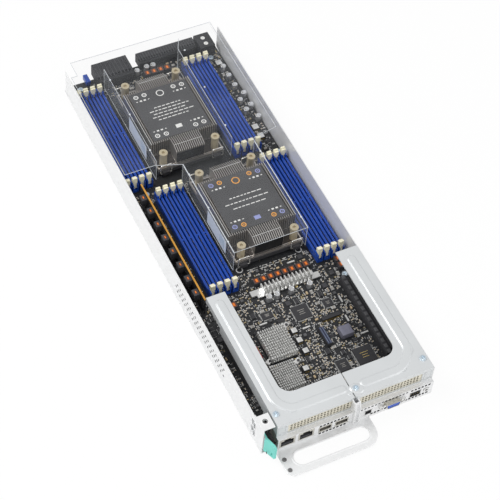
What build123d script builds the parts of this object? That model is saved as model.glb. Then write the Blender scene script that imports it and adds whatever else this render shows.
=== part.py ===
"""One half-width compute node of a rack server, as separate pieces in millimetres.

X runs across the sled, Y from the port end to the mating end, and Z up.
Pieces are laid out with Y = 0 at the port end, and are written out with the
origin at the centre of the floor's underside.
"""
import math
import os

from build123d import *

# Tray
SLED_WIDTH = 188.0
WALL_LENGTH = 508.0
FLOOR_LENGTH = 514.0
WALL_DROP = 2.5
TOP_HEIGHT = 40.5
SHEET = 1.0
TAB_WIDTH = 13.0
TAB_LENGTH = 18.0
TAB_HOLE_RADIUS = 1.9
VENT_RADIUS = 1.7
VENT_PITCH = 6.2
VENT_COUNT = 19
VENT_ROWS = 3
VENT_START = 88.0

# Clearances
FACE_GAP = 0.3
SCREW_CLEARANCE = 0.15

# Main board
STANDOFF_HEIGHT = 3.6
STANDOFF_RADIUS = 3.0
BOARD_THICKNESS = 2.0
BOARD_MARGIN = 1.0
BOARD_START = 2.6
BOARD_END = 513.0
SCREW_RADIUS = 1.5
SCREW_HEAD_RADIUS = 3.2
SCREW_HEAD_HEIGHT = 1.8

# Memory sockets and latches
SOCKET_PITCH = 8.38
SOCKET_WIDTH = 6.6
SOCKET_LENGTH = 146.0
SOCKET_HEIGHT = 9.0
SOCKET_COUNT = 4
CARD_SLOT = 1.6
CARD_SLOT_DEPTH = 7.0
KEY_OFFSET = 4.0
KEY_WIDTH = 1.6
TOWER_LENGTH = 8.0
TOWER_HEIGHT = 12.0
LATCH_WIDTH = 3.6
LATCH_DEPTH = 4.4
LATCH_TOP = 27.0
LATCH_PIVOT_HEIGHT = 5.2
LATCH_BOSS_RADIUS = 2.2
LATCH_HEAD_WIDTH = 5.0

# Heat sinks
SINK_WIDTH = 78.0
SINK_BODY = 78.4
SINK_LENGTH = 113.2
SINK_END_WIDTH = 33.4
SINK_HEADROOM = 3.1
FIN_PITCH = 2.4
FIN_THICKNESS = 0.8
BASE_THICKNESS = 3.5
BASE_LENGTH = 118.0
NUT_SPREAD_X = 30.7
NUT_SPREAD_Y = 52.7
NUT_RADIUS = 4.2
NUT_DROP = 1.4
LABEL_THICKNESS = 0.4
LABEL_WIDTH = 68.0
LABEL_LENGTH = 72.0
SOCKET_FRAME_HEIGHT = 3.0
CARRIER_HEIGHT = 4.5
PROCESSOR_WIDTH = 56.0
PROCESSOR_LENGTH = 76.0
BAIL_WIRE_RADIUS = 0.7
BAIL_WIDTH = 13.0
BAIL_HEIGHT = 13.0

# Air duct
DUCT_SHEET = 1.2
DUCT_FAR_END = 516.0
DUCT_NEAR_END = 204.0
DUCT_SHOULDER = 343.0
DUCT_FOOT = 4.0

# Riser brackets and port end
BRACKET_SHEET = 1.2
BEAD_HEIGHT = 0.6
BEAD_WIDTH = 8.0
BRACKET_REACH = 164.0
LEFT_ARM_WIDTH = 20.6
RIGHT_ARM_WIDTH = 25.0
LEFT_STRIP = 30.6
RIGHT_STRIP = 30.0
PANEL_TOP = 20.6
PANEL_Y = -5.0
PANEL_LEFT = -79.0
SPLIT_X = 5.0
COVER_LENGTH = 70.0
COVER_HEADROOM = 3.7
COVER_HOLE = 2.3
COVER_SHEET = 0.6
COVER_LAP = 0.5
COVER_LEDGE = 0.8
COVER_PITCH = 3.6
COVER_ROWS = 4
PORT_CLEARANCE = 0.2

# Handle and release strip
HANDLE_SHEET = 1.5
HANDLE_REACH = 36.5
HANDLE_SLOT_RADIUS = 8.0
HANDLE_SLOT_Y = -20.5
HANDLE_LEFT = -81.0
HANDLE_RIGHT = 21.6
LATCH_STRIP = 0.8
HINGE_Y = 56.0

# Port positions across the panel
NETWORK_PORT_X = (-69.0, -48.5)
NETWORK_PORT_WIDTH = 17.0
NETWORK_PORT_HEIGHT = 13.0
CAGE_PORT_X = (-27.6, -9.4)
CAGE_PORT_WIDTH = 14.5
CAGE_PORT_HEIGHT = 9.5
SMALL_PORT_X = 20.0
SMALL_PORT_SIZE = 7.5
VIDEO_PORT_X = 45.4
VIDEO_PORT_WIDTH = 17.0
VIDEO_PORT_HEIGHT = 8.0
JACK_SPREAD = 12.5
DATA_PORT_X = 73.0
DATA_PORT_WIDTH = 12.4
DATA_PORT_HEIGHT = 8.6
BUTTON_X = 85.4
BUTTON_RADIUS = 3.0
BUTTON_TRAVEL = 0.8

# Tray details
TAB_HOLE_Y = 10.2
LEAD_LENGTH = 24.0
LEAD_HEIGHT = 7.0
HOOK_Y = 20.5
HOOK_HALF = 2.9
HOOK_PROUD = 1.2
SLOT_HALF = 4.0
SLOT_LEAN = 1.0
HOOK_LOW = (8.0, 18.0)
HOOK_HIGH = (20.5, 30.5)
RIVET_Y = (61.5, 73.0)
RIVET_Z = 22.5
RIVET_RADIUS = 1.1
ROOT_END = 80.0
STRIP_Z = (8.0, 31.0)
STRIP_FRONT = -1.0
TAB_ROOT = 6.0
TAB_SLANT = 5.0
TAB_REACH = 13.0
TAB_THICKNESS = 2.4
TAB_Z = (7.2, 28.0)
TAB_NICK = 4.0
TAB_SLOT = (3.0, 1.6, 5.0)

# Port end details
PANEL_VENT = 2.6
PANEL_VENT_PITCH = 3.9
VENT_MARGIN = 0.6
JACK_RADIUS = 1.5
JACK_BORE = 1.2
JACK_HEAD = 4.0
JACK_HEAD_RADIUS = 2.7
JACK_BORE_DEPTH = 7.0
JACK_SHANK = 7.0
SHELL_PROUD = 5.5
NETWORK_PORT_DEPTH = 20.0
PORT_BACK = 3.0
JACK_SILL = 1.4
JACK_MOUTH = (13.6, 8.4)
JACK_KEY = (7.2, 1.9)
CAGE_WALL = 1.0
CAGE_BACK = 4.0
VIDEO_TAPER = 1.6
SHELL_INSET = 0.5
SHELL_BORE = 0.9
INSERT_INSET = 1.1
VIDEO_BOX = 12.0
VIDEO_BOX_MARGIN = 3.5
CONTACT_PITCH = (2.3, 1.9)
CONTACT_SIZE = 0.6
PORT_WALL = 0.8
PORT_TONGUE = 1.2
SWITCH_SIZE = (8.0, 8.0, 11.0)
SWITCH_BORE = 4.0
CAGE_PORT_DEPTH = 24.0
BUTTON_PROUD = 1.0
BUTTON_STEM = 1.2
SWITCH_Y = 8.0
DIVIDER_WIDTH = 6.4
DIVIDER_DEPTH = 3.6
HANDLE_ROOT = 12.0
HANDLE_CORNER = 5.0
EAR_RISE = 9.0
EAR_TIP = 1.5
EAR_FOOT = 9.0
HANDLE_SLOT_INSET = 21.0
HANDLE_SCREWS = ((-77.0, -16.5), (-77.0, -29.0))
RIVET_HEAD = 2.3
RIVET_RISE = 0.5
SPLIT_GAP = 1.0
WINDOW_RADIUS = 13.0
SIDE_FLANGE_Z = 24.0
COVER_X = (-32.0, 46.0)
BRACKET_SCREWS = ((-74.5, 13.4), (10.0, 9.0), (87.5, 13.4))
FLANGE_NOTCH = (34.0, 8.0)
LEFT_BEAD = ((-68.9, 152.0), (-68.9, 25.5), (-58.0, 12.8), (-3.0, 12.8))
RIGHT_BEAD = ((79.6, 150.0), (79.6, 28.0), (63.0, 11.4), (21.0, 11.4))

# Board details
BOARD_SCREWS = (
    (-78.0, 503.0), (79.0, 493.0), (78.5, 156.0), (-86.0, 150.0),
    (-70.0, 334.0), (88.0, 335.0), (-50.0, 40.0), (58.0, 36.0),
)
LATCH_HEAD_HEIGHT = 6.5
LATCH_NOTCH = 1.2
LID_MARGIN = 6.0
SOCKET_RIM = 4.0
CARRIER_LENGTH = 120.0
EAR_DEPTH = 3.0
EAR_WIDTH = 9.0
LEG_RADIUS = 4.5
BAIL_CLEARANCE = 0.05
BAIL_GRIP = 2.5
BAIL_BEND = 2.5
NUT_SHANK = 2.6
NUT_COLLAR = 2.5
NUT_RIM = 0.5
NUT_RECESS = 2.0
SLOPE_LENGTH = 8.5
SLOPE_DROP = 4.0
DUCT_RIGHT = 87.0
DUCT_LEFT = -84.5
DUCT_STEP = 495.0
DUCT_FLARE = 491.0
DUCT_END_LEFT = 493.0
DUCT_END_RIGHT = 505.0
DUCT_SPLAY = 7.0
WALL_BACK = 8.0
WALL_FORE = 6.0
FOOT_INSET = 6.0
CARD_X = -78.6
CARD_Y = (166.0, 330.0)
CARD_THICKNESS = 1.6
CARD_Z = 9.0
CARD_TOP = 34.0
CARD_SOCKET_TOP = 14.0
CARD_COIL_COUNT = 8
CARD_COIL = (6.0, 8.0, 9.0)
CARD_COIL_INSET = 15.0
CARD_COIL_DROP = 13.0
CARD_SOCKET_INSET = 20.0
CARD_GRIP = 3.0
CARD_BEVEL = 6.0
SLOT_END = 2.0
SLOT_FLOOR = 3.0
SLOT_KEY = (14.0, 16.0)
SLOT_WIDTH = 7.0
SLOT_HEIGHT = 11.0
LEFT_SLOT = (-73.0, 62.0, 127.0)
RIGHT_SLOT = (79.0, 50.0, 140.0)
COIL_SIZE = 7.0
COIL_HEIGHT = 5.0
COIL_BAND = (3.0, 0.5)
COIL_ROW = (-12.4, 181.5, 8.2, 8)
FAR_COIL_ROW = (0.3, 495.0, 8.1, 4)
LOOSE_COIL = (-47.2, 163.2)
SIDE_COILS = (79.2, 5.3, 8.5, 2)
CAPACITOR_RADIUS = 3.1
CAPACITOR_HEIGHT = 7.5
CAPACITORS = (
    (-9.7, 157.0), (-0.8, 157.0), (15.9, 157.0), (36.7, 156.0),
    (-10.0, 501.0), (2.6, 502.6), (10.4, 502.6),
    (84.0, 470.0), (84.0, 455.0), (84.0, 439.0), (88.0, 424.0),
    (80.0, 416.0), (88.0, 405.0), (80.0, 400.0), (88.0, 386.0),
)
BAR_X = (-12.8, 41.0)
BAR_Y = (162.0, 172.5)
BAR_EAR = 12.0
BAR_TOP = 18.0
BAR_FINS = 13
BAR_BASE = 3.0
BAR_FIN = 1.4
BAR_NOTCH = (5.5, 3.5)
BAR_POST = 1.2
BAR_POST_INSET = 4.0
PIN_CHIP_HEIGHT = 2.0
PIN_TOP = 17.0
PIN_COLUMNS = 12
PIN_ROWS = 11
PIN_BASE = 2.0
PIN_CUT_X = 0.55
PIN_CUT_Y = 0.45
PIN_CHIP_INSET = 8.0
PIN_SINKS = ((-27.2, 102.0, 29.0, 36.0), (-35.7, 62.0, 26.0, 31.0))
POWER_CONNECTOR = (-58.0, -16.0, 495.0, 521.0, 22.0)
SIGNAL_CONNECTOR = (-3.7, 67.0, 507.0, 521.0, 19.0)
GUIDE = (69.0, 87.0, 499.0, 521.0, 20.0)
GUIDE_BORE = 3.0
GUIDE_BORE_DEPTH = 12.0
GUIDE_HOLES = (7.0, 15.0)
GUIDE_HOLE_RADIUS = 1.6
GUIDE_HOLE_DEPTH = 4.0
BLADE_WALL = 2.0
BLADE_SLOT = 0.4
BLADE_DEPTH = 6.0
MATING_STEP = (5.0, 3.0)
CHIPS = (
    (14.5, 130.0, 17.5, 17.5, 1.6), (50.0, 57.5, 20.0, 20.0, 2.2), (24.0, 55.0, 12.0, 14.0, 1.6),
    (-3.4, 111.5, 6.5, 6.5, 3.0), (-3.4, 99.0, 6.5, 6.5, 3.0), (-3.4, 85.0, 6.5, 6.5, 3.0),
    (-12.8, 66.0, 6.5, 6.5, 3.0), (83.6, 481.0, 8.0, 8.0, 2.5), (80.0, 376.0, 8.0, 8.0, 2.5),
    (80.0, 362.0, 8.0, 8.0, 2.5), (-20.0, 140.0, 12.0, 8.0, 1.6), (45.0, 130.0, 10.0, 10.0, 1.4),
)
MEZZANINE = (22.5, 92.0, 5.5, 22.0, 5.5)
CARD_CONNECTOR = (39.7, 112.5, 21.0, 4.0, 3.5)
SQUARE_BLOCK = (44.3, 89.5, 13.0, 12.5, 6.5)

# Derived values
HALF = SLED_WIDTH / 2
INNER = HALF - SHEET
ORIGIN_Y = FLOOR_LENGTH / 2
BOARD_BOTTOM = SHEET + STANDOFF_HEIGHT
BOARD_TOP = BOARD_BOTTOM + BOARD_THICKNESS
BOARD_HALF = INNER - BOARD_MARGIN
WALL_HEIGHT = TOP_HEIGHT - WALL_DROP
SINK_TOP = TOP_HEIGHT - SINK_HEADROOM
NUT_TOP = SINK_TOP - NUT_DROP
PLATE_TOP = TOP_HEIGHT - BEAD_HEIGHT
PLATE_BOTTOM = PLATE_TOP - BRACKET_SHEET
PIVOT_Z = BOARD_TOP + LATCH_PIVOT_HEIGHT
LATCH_INSET = TOWER_LENGTH / 2
FRAME_TOP = BOARD_TOP + SOCKET_FRAME_HEIGHT
CARRIER_TOP = FRAME_TOP + CARRIER_HEIGHT
BASE_TOP = CARRIER_TOP + BASE_THICKNESS
HANDLE_TOP = SHEET + HANDLE_SHEET
STRIP_X = -INNER + FACE_GAP
DUCT_BOTTOM = TOP_HEIGHT - DUCT_SHEET
BAIL_Z = FRAME_TOP + CARRIER_HEIGHT / 2
VIDEO_PORT_Z = BOARD_TOP + 3.6
BUTTON_Z = BOARD_TOP + 4.8
COVER_Z = PANEL_TOP + COVER_LEDGE
COVER_HEIGHT = PLATE_BOTTOM - COVER_Z - COVER_HEADROOM

# Centres of the two processors, and of the first socket and middle of each bank
SINKS = {"near": (14.7, 266.0), "far": (-9.1, 412.2)}
BANKS = {
    "near_left": (-61.8, 253.3),
    "near_right": (61.5, 253.3),
    "far_left": (-87.6, 415.2),
    "far_right": (43.3, 416.8),
}
LEFT_SIDES = {"near": -29.2, "far": -54.0}
RIGHT_SIDES = {"near": 56.4, "far": 35.2}


def block(x, y, z, width, length, height):
    """A box centred on x and y, standing on z."""
    return Pos(x, y, z) * Box(width, length, height, align=(Align.CENTER, Align.CENTER, Align.MIN))


def span(x0, x1, y0, y1, z0, z1):
    """A box between two corners."""
    return block((x0 + x1) / 2, (y0 + y1) / 2, z0, x1 - x0, y1 - y0, z1 - z0)


def rod(x, y, z, radius, height):
    """An upright cylinder standing on z."""
    return Pos(x, y, z) * Cylinder(radius, height, align=(Align.CENTER, Align.CENTER, Align.MIN))


def plate(points, z, thickness, radius=0.0, rounded=()):
    """A flat plate of the given outline, with chosen corners rounded in plan."""
    face = make_face(Polyline(*points, close=True))
    for index in rounded:
        corner = face.vertices().sort_by_distance((*points[index], 0))[0]
        face = fillet(corner, radius)
    return Pos(0, 0, z) * extrude(face, thickness, dir=(0, 0, 1))


def slab_x(points, x, width):
    """A profile drawn in Y and Z, extruded along X about x."""
    face = make_face(Polyline(*[(x - width / 2, y, z) for y, z in points], close=True))
    return extrude(face, width, dir=(1, 0, 0))


def slab_y(points, y, length):
    """A profile drawn in X and Z, extruded along +Y from y."""
    face = make_face(Polyline(*[(x, y, z) for x, z in points], close=True))
    return extrude(face, length, dir=(0, 1, 0))


def pan_screw(x, y, seat, shank):
    """A pan-head screw whose head stands on seat, with a cross recess."""
    head = rod(x, y, seat, SCREW_HEAD_RADIUS, SCREW_HEAD_HEIGHT)
    head = chamfer(head.edges().sort_by(Axis.Z)[-1], SCREW_HEAD_HEIGHT / 3)
    recess_z = seat + SCREW_HEAD_HEIGHT / 2
    arm = SCREW_HEAD_RADIUS * 1.1
    recess = block(x, y, recess_z, arm, arm / 4, SCREW_HEAD_HEIGHT)
    recess += block(x, y, recess_z, arm / 4, arm, SCREW_HEAD_HEIGHT)
    return head + rod(x, y, seat - shank, SCREW_RADIUS, shank) - recess


def put(name, *solids):
    """Write one node, moved so that the floor's centre is the origin."""
    moved = [Pos(0, -ORIGIN_Y, 0) * solid for item in solids for solid in item.solids()]
    export_step(Compound(children=moved), f"parts/{name}.step")


def wall_vents():
    """Cutters for the staggered rows of six-sided vents in the left wall."""
    cutters = []
    for row in range(VENT_ROWS):
        for column in range(VENT_COUNT):
            y = VENT_START + (column + (row % 2) / 2) * VENT_PITCH
            z = WALL_HEIGHT / 2 + (row - (VENT_ROWS - 1) / 2) * VENT_PITCH * 0.87
            hexagon = Plane((-HALF - SHEET, y, z), z_dir=(1, 0, 0)) * RegularPolygon(VENT_RADIUS, 6)
            cutters.append(extrude(hexagon, 3 * SHEET, dir=(1, 0, 0)))
    return cutters


def hook_slot(z0, z1):
    """Cutter for one slanted slot in the left wall, where a hook comes through."""
    outline = [
        (HOOK_Y - SLOT_HALF - SLOT_LEAN, z0),
        (HOOK_Y + SLOT_HALF - SLOT_LEAN, z0),
        (HOOK_Y + SLOT_HALF + SLOT_LEAN, z1),
        (HOOK_Y - SLOT_HALF + SLOT_LEAN, z1),
    ]
    return slab_x(outline, -HALF + SHEET / 2, 3 * SHEET)


def chassis_tray():
    """Folded tray: floor, two side walls and the corner tab, one thickness of sheet."""
    outline = [
        (-HALF, WALL_HEIGHT), (-HALF, 0), (HALF, 0), (HALF, WALL_HEIGHT),
        (INNER, WALL_HEIGHT), (INNER, SHEET), (-INNER, SHEET), (-INNER, WALL_HEIGHT),
    ]
    tray = slab_y(outline, 0, WALL_LENGTH)
    tray += span(-INNER, INNER, WALL_LENGTH, FLOOR_LENGTH, 0, SHEET)
    tray += span(PANEL_LEFT, INNER, PANEL_Y, 0, 0, SHEET)
    tray += span(-HALF, -INNER, 0, TAB_LENGTH + 2 * SHEET, WALL_HEIGHT, TOP_HEIGHT)
    tab_end = -HALF + TAB_WIDTH
    tray += span(-HALF, tab_end, SHEET, TAB_LENGTH, TOP_HEIGHT - SHEET, TOP_HEIGHT)
    tray -= rod(-HALF + TAB_WIDTH / 2, TAB_HOLE_Y, WALL_HEIGHT, TAB_HOLE_RADIUS, TOP_HEIGHT)
    lead = [
        (WALL_LENGTH - LEAD_LENGTH, -SHEET),
        (WALL_LENGTH + SHEET, -SHEET),
        (WALL_LENGTH + SHEET, LEAD_HEIGHT),
        (WALL_LENGTH, LEAD_HEIGHT),
        (WALL_LENGTH - LEAD_LENGTH, 0),
    ]
    for side in (-1, 1):
        tray -= slab_x(lead, side * (HALF - SHEET / 2), SHEET)
    cutters = wall_vents() + [hook_slot(*HOOK_LOW), hook_slot(*HOOK_HIGH)]
    for y in RIVET_Y:
        hole = Cylinder(RIVET_RADIUS + SCREW_CLEARANCE, 4 * SHEET, rotation=(0, 90, 0))
        cutters.append(Pos(-HALF, y, RIVET_Z) * hole)
    return tray - cutters


def vent_row(x0, x1, z):
    """Cutters for one row of small square vents across the port panel."""
    count = int((x1 - x0) / PANEL_VENT_PITCH)
    return [
        block(x0 + (i + 0.5) * PANEL_VENT_PITCH, PANEL_Y, z, PANEL_VENT, 4 * SHEET, PANEL_VENT)
        for i in range(count)
    ]


def port_openings():
    """Each port's x, width, bottom and height in the panel."""
    ports = [(x, NETWORK_PORT_WIDTH, BOARD_TOP, NETWORK_PORT_HEIGHT) for x in NETWORK_PORT_X]
    ports += [(x, CAGE_PORT_WIDTH, BOARD_TOP, CAGE_PORT_HEIGHT) for x in CAGE_PORT_X]
    ports.append((SMALL_PORT_X, SMALL_PORT_SIZE, BOARD_TOP, SMALL_PORT_SIZE))
    ports.append((VIDEO_PORT_X, VIDEO_PORT_WIDTH, VIDEO_PORT_Z, VIDEO_PORT_HEIGHT))
    ports.append((DATA_PORT_X, DATA_PORT_WIDTH, BOARD_TOP, DATA_PORT_HEIGHT))
    return ports


def io_panel():
    """Port panel between the tray's corners, with an opening for every port."""
    back = PANEL_Y + SHEET
    panel = span(PANEL_LEFT, INNER, PANEL_Y, back, SHEET, PANEL_TOP)
    panel += span(PANEL_LEFT, INNER, back, BRACKET_SHEET, PANEL_TOP - SHEET, PANEL_TOP)
    handle_end = HANDLE_RIGHT + FACE_GAP
    panel -= span(PANEL_LEFT - SHEET, handle_end, PANEL_Y - SHEET, back + SHEET, 0, HANDLE_TOP)
    cutters = []
    for x, width, bottom, height in port_openings():
        grow = 2 * PORT_CLEARANCE
        opening_z = bottom - PORT_CLEARANCE
        opening = block(x, PANEL_Y, opening_z, width + grow, 4 * SHEET, height + grow)
        cutters.append(opening)
    for side in (-1, 1):
        x = VIDEO_PORT_X + side * JACK_SPREAD
        hole = Cylinder(JACK_RADIUS + SCREW_CLEARANCE, 4 * SHEET, rotation=(90, 0, 0))
        cutters.append(Pos(x, PANEL_Y, VIDEO_PORT_Z + VIDEO_PORT_HEIGHT / 2) * hole)
    hole = Cylinder(BUTTON_RADIUS + FACE_GAP, 4 * SHEET, rotation=(90, 0, 0))
    cutters.append(Pos(BUTTON_X, PANEL_Y, BUTTON_Z) * hole)
    cage_left = CAGE_PORT_X[0] - CAGE_PORT_WIDTH / 2
    cage_right = CAGE_PORT_X[1] + CAGE_PORT_WIDTH / 2
    upper = PANEL_TOP - SHEET - VENT_MARGIN - PANEL_VENT
    middle = BOARD_TOP + CAGE_PORT_HEIGHT + VENT_MARGIN
    lower = BOARD_TOP - VENT_MARGIN - PANEL_VENT
    cutters += vent_row(cage_left, cage_right, max(upper, middle))
    cutters += vent_row(cage_left, cage_right, lower)
    data_left = DATA_PORT_X - DATA_PORT_WIDTH / 2
    cutters += vent_row(SMALL_PORT_X + SMALL_PORT_SIZE, VIDEO_PORT_X - JACK_SPREAD - JACK_HEAD, upper)
    cutters += vent_row(data_left, INNER - SHEET, upper + VENT_MARGIN)
    cutters += vent_row(HANDLE_RIGHT + SHEET, INNER - SHEET, lower)
    return panel - cutters


def divider_post():
    """Folded channel that stands before the split between the two halves."""
    half = DIVIDER_WIDTH / 2
    outline = [
        (-half, -DIVIDER_DEPTH), (-half + SHEET, -DIVIDER_DEPTH), (-half + SHEET, -SHEET),
        (half - SHEET, -SHEET), (half - SHEET, -DIVIDER_DEPTH), (half, -DIVIDER_DEPTH),
        (half, 0), (-half, 0),
    ]
    points = [(SPLIT_X + x, PANEL_Y + y) for x, y in outline]
    post_top = PLATE_BOTTOM - SHEET
    post = plate(points, HANDLE_TOP, post_top - HANDLE_TOP)
    for x in (SPLIT_X - half, SPLIT_X + half - SHEET):
        post += span(x, x + SHEET, PANEL_Y, 0, PANEL_TOP, post_top)
    corner = DIVIDER_DEPTH - SHEET
    front = PANEL_Y - DIVIDER_DEPTH
    for z0, z1 in ((HANDLE_TOP, HANDLE_TOP + corner), (post_top, post_top - 3 * corner)):
        nick = [(front, z0), (front + corner, z0), (front, z1)]
        post -= slab_x(nick, SPLIT_X, DIVIDER_WIDTH)
    return post


def pull_handle():
    """Flat plate handle with a long finger slot and a turned-up left edge."""
    outline = [
        (HANDLE_LEFT, HANDLE_ROOT),
        (HANDLE_LEFT, -HANDLE_REACH + HANDLE_CORNER),
        (HANDLE_LEFT + HANDLE_CORNER, -HANDLE_REACH),
        (HANDLE_RIGHT, -HANDLE_REACH),
        (HANDLE_RIGHT, HANDLE_ROOT),
    ]
    grip = plate(outline, SHEET, HANDLE_SHEET, HANDLE_REACH + HANDLE_SLOT_Y, (3,))
    slot_left = HANDLE_LEFT + HANDLE_SLOT_INSET
    slot_right = HANDLE_RIGHT - (HANDLE_REACH + HANDLE_SLOT_Y)
    slot = Pos((slot_left + slot_right) / 2, HANDLE_SLOT_Y) * SlotCenterToCenter(
        slot_right - slot_left, 2 * HANDLE_SLOT_RADIUS
    )
    grip -= extrude(slot, 3 * HANDLE_SHEET, dir=(0, 0, 1))
    ear = [
        (PANEL_Y - FACE_GAP, HANDLE_TOP - SHEET),
        (PANEL_Y - FACE_GAP, HANDLE_TOP + EAR_RISE),
        (PANEL_Y - SHEET - EAR_TIP, HANDLE_TOP + EAR_RISE),
        (PANEL_Y - EAR_FOOT, HANDLE_TOP - SHEET),
    ]
    grip += slab_x(ear, HANDLE_LEFT + SHEET / 2, SHEET)
    for x, y in HANDLE_SCREWS:
        grip -= rod(x, y, 0, SCREW_RADIUS + SCREW_CLEARANCE, 3 * HANDLE_SHEET)
    return grip


def latch_root():
    """Riveted end of the spring-steel release strip."""
    root = span(STRIP_X, STRIP_X + LATCH_STRIP, HINGE_Y + FACE_GAP, ROOT_END, *STRIP_Z)
    for y in RIVET_Y:
        hole = Cylinder(RIVET_RADIUS + SCREW_CLEARANCE, 4 * SHEET, rotation=(0, 90, 0))
        root -= Pos(STRIP_X, y, RIVET_Z) * hole
    return root


def latch_rivets():
    """Two rivets through the wall and the strip's root."""
    rivets = []
    for y in RIVET_Y:
        head_x = STRIP_X + LATCH_STRIP
        shank = span_rod_x(-HALF, head_x, y, RIVET_Z, RIVET_RADIUS)
        rivets.append(shank + span_rod_x(head_x, head_x + SHEET, y, RIVET_Z, 2 * RIVET_RADIUS))
    return rivets


def span_rod_x(x0, x1, y, z, radius):
    """A cylinder along X between two places."""
    return Pos((x0 + x1) / 2, y, z) * Cylinder(radius, x1 - x0, rotation=(0, 90, 0))


def span_rod_y(y0, y1, x, z, radius):
    """A cylinder along Y between two places."""
    return Pos(x, (y0 + y1) / 2, z) * Cylinder(radius, y1 - y0, rotation=(90, 0, 0))


def latch_arm():
    """Free length of the release strip, with two wedge hooks through the wall."""
    arm = span(STRIP_X, STRIP_X + LATCH_STRIP, STRIP_FRONT, HINGE_Y, *STRIP_Z)
    tip = -HALF - HOOK_PROUD
    hook_front = HOOK_Y - HOOK_HALF
    wedge = [(STRIP_X, hook_front), (STRIP_X, HOOK_Y + HOOK_HALF), (tip, hook_front)]
    for z0, z1 in (HOOK_LOW, HOOK_HIGH):
        arm += plate(wedge, z0 + SHEET, z1 - z0 - 2 * SHEET)
    return arm


def latch_tab():
    """Plastic finger tab, set at a slant on the front of the release strip."""
    inner = STRIP_X + LATCH_STRIP
    outline = [
        (inner, TAB_ROOT), (inner, STRIP_FRONT), (STRIP_X, STRIP_FRONT),
        (STRIP_X + TAB_SLANT, STRIP_FRONT - TAB_REACH),
        (STRIP_X + TAB_SLANT + TAB_THICKNESS, STRIP_FRONT - TAB_REACH),
        (inner + TAB_THICKNESS, STRIP_FRONT), (inner + TAB_THICKNESS, TAB_ROOT),
    ]
    tab = plate(outline, TAB_Z[0], TAB_Z[1] - TAB_Z[0])
    front = STRIP_FRONT - TAB_REACH
    nick = [
        (front - SHEET, TAB_Z[1] + SHEET),
        (front + TAB_NICK, TAB_Z[1] + SHEET),
        (front - SHEET, TAB_Z[1] - TAB_NICK),
    ]
    tab -= slab_x(nick, STRIP_X + TAB_SLANT, 6 * TAB_THICKNESS)
    slot_y = front + TAB_REACH / 4
    tab -= block(STRIP_X + TAB_SLANT, slot_y, TAB_Z[0] + TAB_SLOT[0], 6 * TAB_THICKNESS, *TAB_SLOT[1:])
    return tab


def main_board():
    """Main circuit board with a clearance hole at every standoff."""
    board = span(-BOARD_HALF, BOARD_HALF, BOARD_START, BOARD_END, BOARD_BOTTOM, BOARD_TOP)
    holes = [rod(x, y, 0, SCREW_RADIUS + SCREW_CLEARANCE, BOARD_TOP + 1) for x, y in BOARD_SCREWS]
    return board - holes


def standoff(x, y):
    """One standoff on the tray floor, bored for its screw."""
    post = Pos(x, y, SHEET) * extrude(RegularPolygon(STANDOFF_RADIUS, 6), STANDOFF_HEIGHT)
    return post - rod(x, y, 2 * SHEET, SCREW_RADIUS + SCREW_CLEARANCE, STANDOFF_HEIGHT)


def memory_socket(x, y):
    """One memory socket: long housing, keyed card slot and a latch tower at each end."""
    body = block(x, y, BOARD_TOP, SOCKET_WIDTH, SOCKET_LENGTH, SOCKET_HEIGHT)
    floor_z = BOARD_TOP + SOCKET_HEIGHT - CARD_SLOT_DEPTH
    cutters = []
    for side in (-1, 1):
        end = y + side * SOCKET_LENGTH / 2
        tower_y = end - side * TOWER_LENGTH / 2
        body += block(x, tower_y, BOARD_TOP, SOCKET_WIDTH, TOWER_LENGTH, TOWER_HEIGHT)
        pocket_z = PIVOT_Z - LATCH_BOSS_RADIUS - FACE_GAP
        inner = end - side * (LATCH_INSET + LATCH_DEPTH / 2 + 2 * FACE_GAP)
        outer = end + side * SHEET
        low, high = sorted((inner, outer))
        half = LATCH_WIDTH / 2 + FACE_GAP
        cutters.append(span(x - half, x + half, low, high, pocket_z, LATCH_TOP))
    length = SOCKET_LENGTH - 2 * LATCH_INSET
    body -= cutters
    body -= block(x, y, floor_z, CARD_SLOT, length, LATCH_TOP)
    return body + block(x, y + KEY_OFFSET, floor_z, CARD_SLOT, KEY_WIDTH, CARD_SLOT_DEPTH)


def bank(name):
    """The four sockets of one bank."""
    x, y = BANKS[name]
    return [memory_socket(x + i * SOCKET_PITCH, y) for i in range(SOCKET_COUNT)]


def bank_latches(name, side):
    """The four latches at one end of a bank, all turning about one axis."""
    x0, y = BANKS[name]
    pivot_y = y + side * (SOCKET_LENGTH / 2 - LATCH_INSET)
    latches = []
    for i in range(SOCKET_COUNT):
        x = x0 + i * SOCKET_PITCH
        half = LATCH_WIDTH / 2
        boss = span_rod_x(x - half, x + half, pivot_y, PIVOT_Z, LATCH_BOSS_RADIUS)
        arm = block(x, pivot_y, PIVOT_Z, LATCH_WIDTH, LATCH_DEPTH, LATCH_TOP - PIVOT_Z)
        head_z = LATCH_TOP - LATCH_HEAD_HEIGHT
        head = block(x, pivot_y, head_z, LATCH_HEAD_WIDTH, LATCH_DEPTH, LATCH_HEAD_HEIGHT)
        thumb_y = pivot_y - side * LATCH_DEPTH / 2
        notch = block(x, thumb_y, LATCH_TOP - LATCH_NOTCH, LATCH_HEAD_WIDTH, LATCH_DEPTH, LATCH_NOTCH + 1)
        latches.append(boss + arm + head - notch)
    return latches


def at_sink(name):
    """Location of one processor's centre."""
    return Pos(*SINKS[name], 0)


def nut_places(name):
    """Centres of the four nuts of one heat sink."""
    x, y = SINKS[name]
    return [(x + i * NUT_SPREAD_X, y + j * NUT_SPREAD_Y) for i in (-1, 1) for j in (-1, 1)]


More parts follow.
